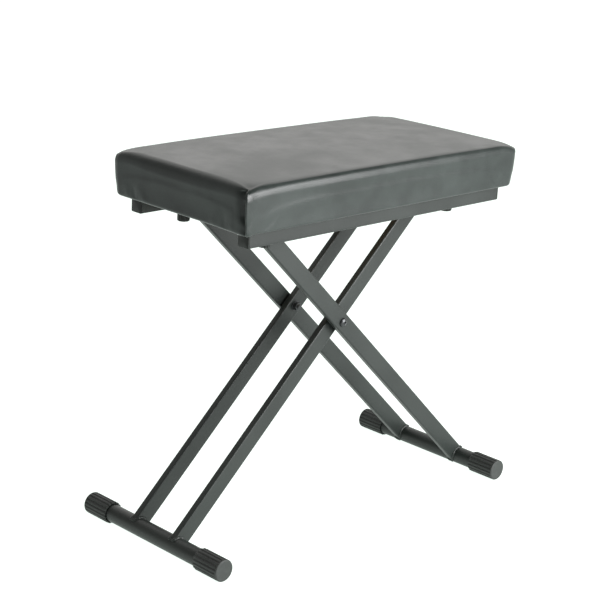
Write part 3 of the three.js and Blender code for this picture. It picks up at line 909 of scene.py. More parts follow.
@dataclass
class LegPair:
    """One pair of legs with its foot tube, caps and crossbar."""

    pair: Pair
    outer_face: float
    stance: Stance = field(default_factory=Stance)
    width: float = 29.5
    thickness: float = 12.0
    wall: float = 1.4
    corner: float = 2.4
    counts: Counts = (6, 18, 4)
    end_run: float = 14.0
    foot_radius: float = 14.65
    foot_wall: float = 1.5
    foot_half_span: float = 161.5
    crossbar_radius: float = 8.0
    crossbar_wall: float = 2.0
    crossbar_half: float = 86.9
    gap: float = 0.3
    foot_bead: Bead = Bead(2.1, 0.75)
    foot_bead_counts: Counts = (5, 30, 12)
    foot_bead_spread: float = 1.02
    foot_bead_lean: float = 0.5
    notch_bead: Bead = Bead(1.2, 0.45)
    notch_bead_steps: int = 30
    notch_bead_end: float = 0.06
    notch_bead_stand: float = 0.4
    notch_bead_lean: float = 1.2
    cap_radius: float = 18.05
    cap_length: float = 54.0
    cap_end: float = 5.0
    flange_radius: float = 17.9
    rib_depth: float = 1.5
    rib_count: int = 18
    rib_half: float = 0.42
    rib_flank: float = 0.34
    rib_crown: float = 0.07

    @property
    def body(self) -> str:
        """Body that the pair's pieces ride on."""
        return f"{self.pair.value}_frame"

    @property
    def turn(self) -> int:
        """Sign between the pair's own Y and the bench's Y."""
        return 1 if self.pair is Pair.OUTER else -1

    def build(self, shop: Workshop) -> None:
        """Make the pair's pieces.

        Args:
            shop: Workshop to make them in.
        """
        place = self.stance.place(self.pair)
        for side in Side:
            own = side.value * self.turn
            self._leg(shop, side, own, place)
            self._weld(shop, side, own, place)
            self._cap(shop, side, own, place)
        foot_half = self.foot_half_span - self.cap_end - self.gap
        foot_tube = pipe(self.foot_radius, self.foot_wall, foot_half, 96)
        self._bar(shop, "foot_tube", foot_tube, place, self.stance.lower_reach)
        crossbar = pipe(self.crossbar_radius, self.crossbar_wall, self.crossbar_half, 64)
        self._bar(shop, "crossbar", crossbar, place, -self.stance.upper_reach)

    def _end_curve(self, across: float, reach: float, radius: float) -> float:
        """Place along the leg of an end that is coped round a tube.

        Args:
            across: Distance across the leg's width, from its middle.
            reach: Distance of the tube's axis.
            radius: Radius of the cope.

        Returns:
            The distance of the end there.
        """
        return reach - math.sqrt(max(radius**2 - across**2, 0.0))

    def _low(self, across: float) -> float:
        """Place of the end that is coped over the foot tube."""
        return self._end_curve(across, self.stance.lower_reach, self.foot_radius + self.gap)

    def _high(self, across: float) -> float:
        """Place of the end that is notched for the crossbar."""
        return -self._end_curve(across, self.stance.upper_reach, self.crossbar_radius + self.gap)

    def _middle(self, own: int) -> float:
        """Y of a leg's middle plane in the pair's own frame."""
        return own * (self.outer_face - self.thickness / 2)

    def _leg(self, shop: Workshop, side: Side, own: int, place: Matrix) -> None:
        """Leg tube, coped over the foot tube and notched for the crossbar.

        Args:
            shop: Workshop to make it in.
            side: Side of the bench.
            own: Sign of the leg's Y in the pair's own frame.
            place: Matrix of the pair.
        """
        outer = rounded_outline(self.width, self.thickness, self.corner, self.counts)
        hollow = (self.width - 2 * self.wall, self.thickness - 2 * self.wall)
        inner = rounded_outline(*hollow, self.corner - self.wall / 2, self.counts)
        middle = self._middle(own)

        def ring(outline: Outline, at: Callable[[float], float]) -> Ring:
            """Ring of the leg's section, each point at its own place along the leg."""
            return [Vector((at(z), middle + y, -z)) for z, y in outline]

        upper, lower = self._high(0.0) + self.end_run, self._low(0.0) - self.end_run
        stations = (self._high, lambda z: upper, lambda z: lower, self._low)
        rings = [ring(outer, at) for at in stations] + [ring(inner, at) for at in reversed(stations)]
        leg = Shape().skin(rings, closed=True)
        name = f"{self.pair.value}_leg_{side.word}"
        shop.piece(f"{name}_tube", leg.moved(place), Slot.PAINT, self.body, [name], 25.0)

    def _weld(self, shop: Workshop, side: Side, own: int, place: Matrix) -> None:
        """Beads round a leg's foot and on both faces of its notch.

        Args:
            shop: Workshop to make them in.
            side: Side of the bench.
            own: Sign of the leg's Y in the pair's own frame.
            place: Matrix of the pair.
        """
        middle = self._middle(own)
        outline = rounded_outline(self.width, self.thickness, self.corner, self.foot_bead_counts)
        path = [Vector((self._low(z), middle + y * self.foot_bead_spread, -z)) for z, y in outline]
        outward = []
        for z, y in outline:
            away = Vector((0, y / self.thickness, -z / self.width * 0.9)).normalized()
            outward.append((away + Vector((-self.foot_bead_lean, 0, 0))).normalized())
        weld = self.foot_bead.along(path, outward, 1.0 + own + self.turn * 3, closed=True)

        steps, end = self.notch_bead_steps, self.notch_bead_end
        turns = [HALF * (end + (1 - 2 * end) * step / steps) for step in range(steps + 1)]
        around = [Vector((math.sin(turn), 0, math.cos(turn))) for turn in turns]
        for face in (-1, 1):
            y = middle + face * (self.thickness / 2 + self.gap)
            centre = Vector((-self.stance.upper_reach, y, 0))
            lean = Vector((0, face * self.notch_bead_lean, 0))
            path = [centre + way * (self.crossbar_radius + self.notch_bead_stand) for way in around]
            outward = [(way + lean).normalized() for way in around]
            weld = weld.plus(self.notch_bead.along(path, outward, 7.0 + face + own, closed=False))
        name = f"{self.pair.value}_leg_{side.word}_weld"
        shop.piece(name, weld.moved(place), Slot.PAINT, self.body, sharp=180.0)

    def _bar(self, shop: Workshop, word: str, tube: Shape, place: Matrix, reach: float) -> None:
        """Round tube across both legs of the pair.

        Args:
            shop: Workshop to make it in.
            word: Its name within the pair.
            tube: Tube along Z.
            place: Matrix of the pair.
            reach: Its place along the legs.
        """
        stand = Matrix.Translation((reach, 0, 0)) @ Matrix.Rotation(-QUARTER, 4, "X")
        name = f"{self.pair.value}_{word}"
        shop.piece(f"{name}_steel", tube.moved(place @ stand), Slot.PAINT, self.body, [name])

    def _rib(self, turn: float, share: float) -> float:
        """What the groove beside a rib takes off the cap's radius at a turn.

        Args:
            turn: Turn round the cap.
            share: Depth of the grooves at this ring, as a share.

        Returns:
            The depth there.
        """
        half_pitch = FULL / self.rib_count / 2
        offset = abs((turn + half_pitch) % (2 * half_pitch) - half_pitch) / half_pitch
        crown = self.rib_crown * min(offset / self.rib_half, 1.0) ** 2
        flank = smooth((offset - self.rib_half) / self.rib_flank)
        return self.rib_depth * share * (crown + (1 - self.rib_crown) * flank)

    def _cap(self, shop: Workshop, side: Side, own: int, place: Matrix) -> None:
        """Ribbed rubber cap on one end of the foot tube.

        Args:
            shop: Workshop to make it in.
            side: Side of the bench.
            own: Sign of the cap's Y in the pair's own frame.
            place: Matrix of the pair.
        """
        length, radius, flange = self.cap_length, self.cap_radius, self.flange_radius
        bore = self.foot_radius + self.gap
        mouth = radius - self.rib_depth - 0.75
        profile = [
            (0, length - 0.25),
            (flange - 5.5, length - 0.25, 0.0),
            (flange - 3.0, length - 0.05, 0.0),
            (flange - 2.2, length, 0.0),
            (flange - 1.3, length - 0.3, 0.0),
            (flange - 0.4, length - 0.85, 0.0),
            (flange, length - 1.5, 0.0),
            (flange - 0.08, length - 2.1, 0.0),
            (flange, length - 2.6, 0.25),
            (radius, length - 3.2, 0.85),
            (radius, length - 4.2, 1.0),
            (radius, length / 2, 1.0),
            (radius, 1.4, 1.0),
            (radius - 0.25, 0.5, 1.0),
            (radius - 0.85, 0.0, 1.0),
            (mouth + 0.25, 0.0, 0.0),
            (mouth, 0.3, 0.0),
            (mouth, 4.6, 0.0),
            (mouth - 0.3, 5.0, 0.0),
            (bore + 0.1, 5.0, 0.0),
            (bore, 5.3, 0.0),
            (bore, length - self.cap_end, 0.0),
            (0, length - self.cap_end),
        ]
        cap = lathe(profile, self.rib_count * 12, self._rib)
        level = Matrix.Rotation(own * (QUARTER - self.stance.angle), 4, "Z")
        lay = Matrix.Rotation(-own * QUARTER, 4, "X")
        at = Matrix.Translation((self.stance.lower_reach, own * (self.foot_half_span - length), 0))
        name = f"{self.pair.value}_foot_cap_{side.word}"
        cap = cap.moved(place @ at @ lay @ level)
        shop.piece(f"{name}_rubber", cap, Slot.RUBBER, self.body, [name], 40.0)


def hexagon(turn: float) -> float:
    """Distance of a hexagon's flats as a share of its outline's radius at a turn."""
    return math.cos(turn % SIXTH - SIXTH / 2)


@dataclass
class PivotHardware:
    """Bolt, spacer, washer and nut at both crossings."""

    stance: Stance = field(default_factory=Stance)
    inner_outer_face: float = 53.2
    pair_gap: float = 5.3
    leg_thickness: float = 12.0
    gap: float = 0.3
    bolt_radius: float = 4.0
    bolt_end: float = 2.6
    head_radius: float = 7.6
    head_height: float = 4.4
    head_brim: float = 0.7
    socket_radius: float = 2.6
    socket_depth: float = 2.2
    thread_pitch: float = 0.6
    thread_depth: float = 0.35
    thread_rings: int = 22
    washer_radius: float = 8.4
    washer_thickness: float = 1.4
    nut_flats: float = 13.0
    nut_thickness: float = 6.4
    nut_chamfer: float = 0.7
    spacer_radius: float = 12.0
    ease: float = 0.25
    round_steps: int = 48

    def build(self, shop: Workshop) -> None:
        """Make the hardware of both crossings.

        Args:
            shop: Workshop to make it in.
        """
        inner_face = self.inner_outer_face - self.leg_thickness
        nut_face = inner_face - 2 * self.gap - self.washer_thickness
        bolt_face = self.inner_outer_face + self.pair_gap + self.leg_thickness + self.gap
        length = bolt_face - nut_face + self.nut_thickness + self.bolt_end
        hole = self.bolt_radius + self.gap
        spacer = self._ring(self.spacer_radius, hole, self.pair_gap - 2 * self.gap)
        washer = self._ring(self.washer_radius, hole, self.washer_thickness)
        rows = (
            ("bolt", self._bolt(length), bolt_face, Slot.BLACK_STEEL),
            ("spacer", spacer, self.inner_outer_face + self.gap, Slot.PLASTIC),
            ("washer", washer, nut_face + self.gap, Slot.BLACK_STEEL),
            ("nut", self._nut(hole), nut_face - self.nut_thickness, Slot.BLACK_STEEL),
        )
        lift = Matrix.Translation((0, 0, self.stance.pivot_height))
        for side in Side:
            face = lift @ Matrix.Rotation(-side.value * QUARTER, 4, "X")
            for word, shape, height, slot in rows:
                name = f"pivot_{word}_{side.word}"
                at = face @ Matrix.Translation((0, 0, height))
                shop.piece(f"{name}_finished", shape.moved(at), slot, "outer_frame", [name], 38.0)

    def _bolt(self, length: float) -> Shape:
        """Button-head bolt with a hexagon socket, its head's underside at z = 0.

        Args:
            length: Length of the shank.

        Returns:
            The bolt.
        """
        head, rise, brim = self.head_radius, self.head_height, self.head_brim
        socket, floor = self.socket_radius, self.head_height - self.socket_depth
        turns = [step * QUARTER / 9 for step in range(8)]
        dome = [(head * math.cos(turn), brim + (rise - brim) * math.sin(turn)) for turn in turns]
        dome = [(radius, z) for radius, z in dome if radius > socket + 0.6]
        thread = []
        for index in range(self.thread_rings):
            radius = self.bolt_radius - (0.0 if index % 2 else self.thread_depth)
            thread.append((radius, -length + self.thread_pitch + index * self.thread_pitch))
        profile = [(0, floor), (socket * 0.9, floor + 0.05)]
        profile += [(socket, rise - 0.35), (socket + 0.45, rise - 0.02)]
        profile += list(reversed(dome))
        profile += [(head, 0.25), (head - 0.3, 0), (self.bolt_radius, 0)]
        profile += list(reversed(thread))
        profile += [(self.bolt_radius - 0.8, -length), (0, -length)]
        bolt = lathe(profile, self.round_steps)
        for point in bolt.points:
            if 0 < math.hypot(point.x, point.y) <= socket + 0.01 and point.z > 0:
                flat = math.cos(SIXTH / 2) / hexagon(math.atan2(point.y, point.x))
                point.x *= flat
                point.y *= flat
        return bolt

    def _ring(self, outer: float, inner: float, thickness: float) -> Shape:
        """Flat ring with eased edges, its lower face at z = 0.

        Args:
            outer: Outer radius.
            inner: Inner radius.
            thickness: Thickness.

        Returns:
            The ring.
        """
        ease = self.ease
        profile = [
            (inner, 0),
            (inner, thickness),
            (outer - ease, thickness),
            (outer, thickness - ease),
            (outer, ease),
            (outer - ease, 0),
            (inner, 0),
        ]
        return lathe(profile, 64)

    def _nut(self, hole: float) -> Shape:
        """Hexagon nut with chamfered corners, its lower face at z = 0.

        Args:
            hole: Radius of its hole.

        Returns:
            The nut.
        """
        flats, top, chamfer = self.nut_flats / 2, self.nut_thickness, self.nut_chamfer
        turns = [FULL * step / self.round_steps for step in range(self.round_steps)]
        rings: list[Ring] = []
        for height, limit in ((0.0, 1.0), (chamfer, 1.12), (top - chamfer, 1.12), (top, 1.0)):
            radii = [min(flats / hexagon(turn), flats * limit * 1.02) for turn in turns]
            rings.append([Vector((r * math.cos(t), r * math.sin(t), height)) for r, t in zip(radii, turns)])
        for height in (top, 0.0):
            rings.append([Vector((hole * math.cos(t), hole * math.sin(t), height)) for t in turns])
        return Shape().skin(rings, closed=True)


@dataclass
class Rails:
    """Rails under the long sides of the seat, with end plugs and screws."""

    width: float = 23.3
    height: float = 26.0
    corner: float = 1.8
    wall: float = 1.3
    counts: Counts = (6, 6, 6)
    half_length: float = 285.0
    flange: float = 2.4
    flange_ease: float = 0.7
    insert: float = 12.0
    insert_corner: float = 1.0
    gap: float = 0.3
    screw_place: float = 230.0
    screw_head: float = 4.6
    screw_shank: float = 2.4
    recess_depth: float = 1.1

    def build(self, shop: Workshop) -> None:
        """Make both rails.

        Args:
            shop: Workshop to make them in.
        """
        low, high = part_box("rail_front")
        shift = (low.x + high.x) / 2 / METRES
        line = -(low.y + high.y) / 2 / METRES
        bottom = low.z / METRES
        for side in Side:
            y = side.value * line
            at = Matrix.Translation((shift, y, bottom + self.height / 2))
            name = f"rail_{side.word}"
            shop.piece(f"{name}_tube", self._tube().moved(at), Slot.PAINT, "seat", [name], 25.0)
            for end in End:
                label = f"{side.word}_{end.word}"
                out = Matrix.Translation((end.value * (self.half_length - self.flange), 0, 0))
                plug = self._plug().moved(at @ out @ Matrix.Rotation(end.value * QUARTER, 4, "Y"))
                name = f"rail_plug_{label}"
                shop.piece(f"{name}_moulded", plug, Slot.PLASTIC, "seat", [name], 38.0)
                x = shift + end.value * self.screw_place
                screw = self._screw().moved(Matrix.Translation((x, y, bottom - self.gap)))
                name = f"rail_screw_{label}"
                shop.piece(f"{name}_plated", screw, Slot.ZINC, "seat", [name], 38.0)

    def _tube(self) -> Shape:
        """Box tube along X, centred.

        Returns:
            The tube.
        """
        half = self.half_length - self.flange - self.gap
        outer = rounded_outline(self.height, self.width, self.corner, self.counts)
        hollow = (self.height - 2 * self.wall, self.width - 2 * self.wall)
        inner = rounded_outline(*hollow, self.corner - self.wall / 2, self.counts)
        stations = [-half, -half / 3, half / 3, half]
        rings = [[Vector((x, y, -z)) for z, y in outer] for x in stations]
        rings += [[Vector((x, y, -z)) for z, y in inner] for x in reversed(stations)]
        return Shape().skin(rings, closed=True)

    def _plug(self) -> Shape:
        """Moulded end plug, its flange's inner face at z = 0 and its insert below.

        Returns:
            The plug.
        """
        flange, ease, insert = self.flange, self.flange_ease, self.insert
        neck = 2 * (self.wall + self.gap)
        insert_rows = ((-1.0, 2.0), (-insert, 2.0), (-insert, 0.6), (-insert + 1.0, 0.0), (0.0, 0.0))
        flange_rows = (
            (0.0, 0.25),
            (0.25, 0.0),
            (flange - ease, 0.0),
            (flange - ease / 3, 0.25),
            (flange, ease),
        )
        parts = ((insert_rows, neck, self.insert_corner), (flange_rows, 0.0, self.corner))
        rings: list[Ring] = []
        for rows, slack, corner in parts:
            for z, inset in rows:
                size = (self.height - slack - 2 * inset, self.width - slack - 2 * inset)
                rings.append([Vector((x, y, z)) for x, y in rounded_outline(*size, corner, self.counts)])
        return Shape().skin(rings, first=Vector((0, 0, -1.0)), last=Vector((0, 0, flange)))

    def _screw(self) -> Shape:
        """Pan-head screw with a cross recess, its head's underside at z = 0 and the head below.

        Returns:
            The screw.
        """
        head, shank = self.screw_head, self.screw_shank
        profile = [
            (0, -1.6),
            (0.9, -1.7),
            (1.9, -2.75),
            (2.6, -2.7),
            (3.6, -2.3),
            (4.3, -1.5),
            (head, -0.5),
            (head, 0),
            (shank, 0),
            (shank, 30.0),
            (0, 36.0),
        ]
        screw = lathe(profile, 48)
        for point in screw.points:
            if 1.0 < math.hypot(point.x, point.y) < 2.8 and point.z < -2.0:
                turn = math.atan2(point.y, point.x) % QUARTER - QUARTER / 2
                point.z += self.recess_depth * fading(abs(turn) - QUARTER / 2, 0.3)
        return screw


@dataclass
class Knobs:
    """Knobs that clamp the blocks to the tracks."""

    radius: float = 10.2
    height: float = 14.8
    neck_radius: float = 7.0
    flutes: int = 12
    flute_depth: float = 0.75
    flute_sharpness: float = 1.6
    bore: float = 3.3
    bore_depth: float = 10.3

    def build(self, shop: Workshop) -> None:
        """Make the four knobs.

        Args:
            shop: Workshop to make them in.
        """
        for side, end in product(Side, End):
            label = f"{side.word}_{end.word}"
            name = f"knob_{label}"
            low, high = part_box(name)
            middle = ((low.x + high.x) / 2 / METRES, (low.y + high.y) / 2 / METRES, high.z / METRES)
            knob = self._shape().moved(Matrix.Translation(middle))
            shop.piece(f"{name}_moulded", knob, Slot.PLASTIC, f"knob_body_{label}", [name], 38.0)
            shop.keep(f"knob_screw_{label}", Slot.ZINC)

    def _flute(self, turn: float, share: float) -> float:
        """What a flute takes off the grip's radius.

        Args:
            turn: Turn round the knob.
            share: Depth of the flutes at this ring, as a share.

        Returns:
            The depth there.
        """
        wave = 0.5 - 0.5 * math.cos(self.flutes * turn)
        return self.flute_depth * share * wave**self.flute_sharpness

    def _shape(self) -> Shape:
        """Knob that hangs from its top face at z = 0.

        Returns:
            The knob.
        """
        radius, height, neck = self.radius, self.height, self.neck_radius
        profile = [
            (0, -self.bore_depth),
            (self.bore - 0.1, -self.bore_depth, 0.0),
            (self.bore, -self.bore_depth + 0.4, 0.0),
            (self.bore, -0.4, 0.0),
            (self.bore + 0.3, 0.0, 0.0),
            (neck - 0.4, 0.0, 0.0),
            (neck, -0.4, 0.0),
            (neck, -2.0, 0.0),
            (neck + 0.3, -2.2, 0.0),
            (radius - 1.6, -2.25, 0.6),
            (radius - 0.5, -2.7, 1.0),
            (radius - 0.1, -3.4, 1.0),
            (radius, -4.4, 1.0),
            (radius, -height + 2.4, 1.0),
            (radius - 0.25, -height + 1.1, 1.0),
            (radius - 0.8, -height + 0.35, 1.0),
            (radius - 1.7, -height, 0.7),
            (radius - 3.2, -height, 0.0),
            (radius - 3.6, -height + 0.6, 0.0),
            (radius - 6.0, -height + 0.7, 0.0),
            (0, -height + 0.7),
        ]
        return lathe(profile, self.flutes * 12, self._flute).flipped()


@dataclass
class Undercarriage:
    """Tracks, blocks, nuts and board, which keep their solids."""

    block_bevel: float = 0.35

    def build(self, shop: Workshop) -> None:
        """Give the kept nodes their finishes.

        Args:
            shop: Workshop to dress them in.
        """
        shop.keep("seat_board", Slot.BOARD)
        for side in Side:
            shop.keep(f"track_{side.word}", Slot.ZINC)
            for end in End:
                label = f"{side.word}_{end.word}"
                shop.keep(f"track_screw_{label}", Slot.ZINC)
                shop.keep(f"clamp_nut_{label}", Slot.ZINC)
                shop.keep(f"pivot_block_{label}", Slot.PLASTIC, self.block_bevel)


@dataclass
class Fold:
    """Shallow crease or ridge in the vinyl that starts firm and narrow and fades out wide."""

    start: Vector
    end: Vector
    width: float
    height: float
    start_width: float = 0.7
    widening: float = 0.9
    reach: float = 2.6
    onset: float = 0.35
    onset_rate: float = 8.0

    def lift(self, point: Vector) -> float:
        """How far the fold lifts the vinyl at a point.

        Args:
            point: Point on the cushion.

        Returns:
            The lift along the surface's normal, in millimetres.
        """
        line = self.end - self.start
        share = clamp((point - self.start).dot(line) / line.length_squared)
        width = self.width * (self.start_width + self.widening * share)
        away = (point - (self.start + line * share)).length / width
        if away > self.reach:
            return 0.0
        fade = (1 - share) ** 0.7 * min(share * self.onset_rate + self.onset, 1.0)
        return self.height * fade * math.exp(-away * away)


@dataclass
class Staples:
    """Staples that hold the cover's margin to the board."""

    half_x: float
    half_y: float
    bottom: float
    inset: float = 15.5
    pitch: float = 24.0
    clear: float = 36.0
    sway: float = 1.2
    twist: float = 0.35
    half_crown: float = 5.0
    half_wire: float = 0.3

    def shape(self) -> Shape:
        """Rows of staples along the four sides, none of them quite in line.

        Returns:
            All the staples.
        """
        staples = Shape()
        for along, sign in product((True, False), (-1, 1)):
            own_half, other_half = (self.half_x, self.half_y) if along else (self.half_y, self.half_x)
            half = own_half - self.clear
            count = int(2 * half / self.pitch)
            for index in range(count + 1):
                place = -half + 2 * half * index / count
                sway = self.sway * noise.noise(Vector((place * 0.31, sign * 3.3, 4.0 if along else 8.0)))
                twist = self.twist * noise.noise(Vector((place * 0.17, sign * 1.7, 2.0)))
                across = sign * (other_half - self.inset + sway)
                at = (place, across, self.bottom) if along else (across, place, self.bottom)
                spin = Matrix.Rotation(twist + (0 if along else QUARTER), 4, "Z")
                staples = staples.plus(self._staple().moved(Matrix.Translation(at) @ spin))
        return staples

    def _staple(self) -> Shape:
        """One staple: a crown just under z = 0 and two legs above it.

        Returns:
            The staple.
        """
        half, wire = self.half_crown, self.half_wire
        bend = half - 0.3
        path = [(-half, 1.1), (-half, 0.0), (-bend, -0.25), (bend, -0.25), (half, 0.0), (half, 1.1)]
        rings: list[Ring] = []
        for x, z in path:
            lean = math.copysign(0.2, x)
            low, high = (x - lean, z), (x + lean, z - 0.2)
            sides = ((low, -wire), (high, -wire), (high, wire), (low, wire))
            rings.append([Vector((corner_x, y, corner_z)) for (corner_x, corner_z), y in sides])
        return Shape().skin(rings, first=sum(rings[0], Vector()) / 4, last=sum(rings[-1], Vector()) / 4)


@dataclass
class Cushion:
    """Vinyl-covered seat cushion, pulled round its board and stapled underneath.

    Values that come in fours belong to the corners of the outline, counterclockwise from the right
    end of the rear, so the third is the near corner. Values that come in twos belong to the left and
    right end. A bend has a gentle, a tight and a slow stretch.
    """

    half_length: float = 305.1
    half_depth: float = 155.1
    shift: tuple[float, float] = (1.3, -1.3)
    bottom: float = 535.2
    board_bottom: float = 536.7
    board_top: float = 548.7
    shoulder: float = 608.0

    crown: float = 5.2
    crown_power: float = 1.4
    rim: float = 0.45
    rim_reach: float = 12.0
    droop: float = 2.4
    dip: float = 5.2
    dip_reach: float = 28.0
    warp: float = 1.5

    roll_long: Bend = (9.0, 8.0, 9.0)
    roll_ends: tuple[Bend, Bend] = ((3.0, 15.0, 11.0), (5.0, 10.0, 8.0))
    roll_corners: tuple[Bend, Bend] = ((4.0, 11.0, 7.0), (4.0, 6.0, 5.0))
    roll_start: float = math.radians(1.0)
    roll_turns: Bend = (math.radians(12), math.radians(66), QUARTER)
    roll_steps: Counts = (4, 9, 5)
    roll_reach: float = 60.0
    roll_end: float = 16.5
    roll_side: float = 16.0
    roll_foot: float = 586.2

    corner: float = 12.0
    top_corner: float = 4.0
    high_corners: Corners = (12.0, 13.0, 4.5, 13.0)
    low_corners: Corners = (12.0, 12.0, 5.5, 12.0)
    high_fade: float = 0.16
    low_fade: float = 0.3
    pinch: float = 0.35
    taper: float = 3.2
    waist: float = 1.2
    lower_roll: float = 4.0

    inner_half: tuple[float, float] = (304.0, 154.1)
    inner_corner: float = 4.5
    margin: float = 25.5
    board_inset: float = 6.2
    lift: float = 0.3

    counts: Counts = (40, 150, 80)
    crown_rings: int = 34
    side_rings: int = 20
    lower_rings: int = 8

    rough_counts: Counts = (5, 60, 30)
    rough_crown_rings: int = 14
    voxel: float = 5.0
    frames: int = 20
    swell: float = 0.8
    swell_rise: float = 40.0
    follow_reach: float = 13.0
    follow_points: int = 42

    slow_wave: float = 0.4
    slow_rate: float = 0.011
    slow_seed: Bend = (3.1, 7.7, 1.9)
    quick_wave: float = 0.15
    quick_rate: float = 0.03
    quick_seed: Bend = (9.3, 2.2, 5.4)
    hem: float = 4.0
    top_depth: float = 14.0
    top_span: float = 10.0
    top_stillness: float = 0.75
    sag: float = 2.2
    sag_reach: float = 60.0
    sag_height: float = 14.0
    sag_start: float = 12.0
    rail_end: float = 284.0

    crease_turn: float = math.radians(57)
    fold_reach: float = 30.0
    fold_top: float = 603.5
    fold_fade: float = 5.0
    near_flap: float = 1.0
    far_flap: float = 0.35
    stapled_share: float = 0.15
    fullness: tuple[Bend, ...] = ((0.0, 8.0, 0.35), (13.0, 16.0, 0.5))
    fold_path: tuple[Bend, ...] = (
        (-26.0, -14.1, 12.0),
        (-19.0, -7.0, 12.15),
        (-13.0, -0.9, 12.4),
        (-10.0, 2.2, 12.6),
        (-7.5, 5.0, 12.75),
        (-5.5, 8.0, 12.75),
        (-4.0, 11.2, 12.6),
        (-2.8, 13.6, 12.3),
        (-2.1, 14.8, 11.8),
        (-1.7, 15.5, 11.0),
        (-1.3, 15.7, 10.0),
        (-0.7, 13.8, 7.4),
        (0.0, 9.8, 4.6),
        (0.7, 6.2, 2.5),
        (1.3, 4.4, 1.0),
        (2.0, 4.9, -0.4),
        (3.0, 6.2, -2.4),
        (4.5, 8.2, -5.0),
        (6.9, 10.3, -8.4),
        (10.0, 11.4, -11.6),
        (16.0, 12.0, -15.8),
        (22.0, 12.0, -19.2),
        (30.0, 12.0, -23.1),
    )

    def build(self, shop: Workshop) -> None:
        """Make the cushion and the staples under it.

        Args:
            shop: Workshop to make them in.
        """
        outside = self._outside(self.counts, self.crown_rings)
        inside = self._inside(self.counts)
        self._settle(outside)
        folds = self._folds()
        for ring in outside:
            for point in ring:
                self._press(point, folds)
        shape = self._close(outside, inside)
        cushion = shop.piece("seat_cushion", shape, Slot.VINYL, "seat", ["seat_cover", "seat_foam"], 70.0)
        staples = Staples(*self.inner_half, self.bottom)
        shop.piece("cover_staples", staples.shape(), Slot.ZINC, "seat")

    def _spread(self, steps: int) -> list[float]:
        """Places of points along a side, closer together near its ends.

        Args:
            steps: Number of steps.

        Returns:
            Shares between 0 and 1, the ends left out.
        """
        shares = [step / steps for step in range(1, steps)]
        return [0.65 * s + 0.35 * (0.5 - 0.5 * math.cos(math.pi * s)) for s in shares]

    def _outline(
        self,
        half_x: float,
        half_y: float,
        radii: Sequence[float],
        counts: Counts,
        pull: float = 0.0,
    ) -> Outline:
        """Outline of the cushion, its sides drawn in between the corners.

        Args:
            half_x: Half its length.
            half_y: Half its depth.
            radii: Radii of the corners.
            counts: Steps round a corner, along a long side and along a short side.
            pull: How far the middle of a side is drawn in.

        Returns:
            The outline, counterclockwise from the right end of the rear corner.
        """
        signs = ((1, 1), (-1, 1), (-1, -1), (1, -1))
        outline: Outline = []
        for index, (sx, sy) in enumerate(signs):
            radius = radii[index]
            cx, cy = sx * (half_x - radius), sy * (half_y - radius)
            for step in range(counts[0] + 1):
                turn = (index + step / counts[0]) * QUARTER
                outline.append((cx + radius * math.cos(turn), cy + radius * math.sin(turn)))
            along = index % 2 == 0
            tx, ty = signs[(index + 1) % 4]
            ahead = radii[(index + 1) % 4]
            x0, y0 = outline[-1]
            x1 = tx * (half_x - ahead) if along else tx * half_x
            y1 = ty * half_y if along else ty * (half_y - ahead)
            for share in self._spread(counts[1] if along else counts[2]):
                drawn = pull * (1 - (1 - 2 * share) ** 2)
                x, y = x0 + (x1 - x0) * share, y0 + (y1 - y0) * share
                outline.append((x, y - ty * drawn) if along else (x - tx * drawn, y))
        return outline

    def _near_corner(self, x: float, y: float) -> float:
        """How near a place is to a corner of the cushion, from 0 to 1."""
        away = max(self.half_length - abs(x), 0.0) + max(self.half_depth - abs(y), 0.0)
        return fading(away, self.dip_reach)

    def _out(self, x: float, y: float) -> tuple[float, float]:
        """How far out on the flat of the top a place is, along the length and the depth, from 0 to 1."""
        flat_x, flat_y = self.half_length - self.roll_end, self.half_depth - self.roll_side
        return (min(abs(x) / flat_x, 1.0), min(abs(y) / flat_y, 1.0))

    def _edge(self, x: float, y: float) -> float:
        """Height of the top's edge, lower towards the corners and the right.

        Args:
            x: Place along the length.
            y: Place along the depth.

        Returns:
            The height.
        """
        out_x, out_y = self._out(x, y)
        warp = self.warp * x / self.half_length * (0.5 + 0.5 * y / self.half_depth)
        return self.shoulder - warp - self.droop * out_x**3 * out_y**3 - self.dip * self._near_corner(x, y)

    def _crowned(self, x: float, y: float) -> float:
        """Height of the crowned top, with a slight rim along the long sides.

        Args:
            x: Place along the length.
            y: Place along the depth.

        Returns:
            The height.
        """
        out_x, out_y = self._out(x, y)
        rim = self.rim * fading((1 - out_y) * self.half_depth, self.rim_reach) * smooth((1 - out_x) * 8)
        return self._edge(x, y) + rim + self.crown * ((1 - out_x**2) * (1 - out_y**2)) ** self.crown_power

    def _bend(self, x: float, y: float) -> Bend:
        """Lengths of the three stretches of the top's rolled edge.

        Args:
            x: Place on the outline along the length.
            y: Place on the outline along the depth.

        Returns:
            The lengths.
        """
        end = 0 if x < 0 else 1
        along = max(self.half_length - abs(x), 0.0) / self.roll_reach
        across = max(self.half_depth - abs(y), 0.0) / self.roll_reach
        on_end = along < 0.001 or across > along
        other = self.roll_ends[end] if on_end else self.roll_long
        share = fading(across if on_end else along, 1.0)
        gentle, tight, slow = (b + (a - b) * share for a, b in zip(self.roll_corners[end], other))
        return (gentle, tight, slow)

    def _roll(self, bend: Bend) -> Outline:
        """Profile of the rolled edge: distance out and drop after each step.

        Args:
            bend: Lengths of its three stretches.

        Returns:
            The profile, its first point left out.
        """
        profile: Outline = []
        out = drop = 0.0
        turn = self.roll_start
        for length, steps, until in zip(bend, self.roll_steps, self.roll_turns):
            change = (until - turn) / steps
            for _ in range(steps):
                middle = turn + change / 2
                out += math.cos(middle) * length / steps
                drop += math.sin(middle) * length / steps
                turn += change
                profile.append((out, drop))
        return profile

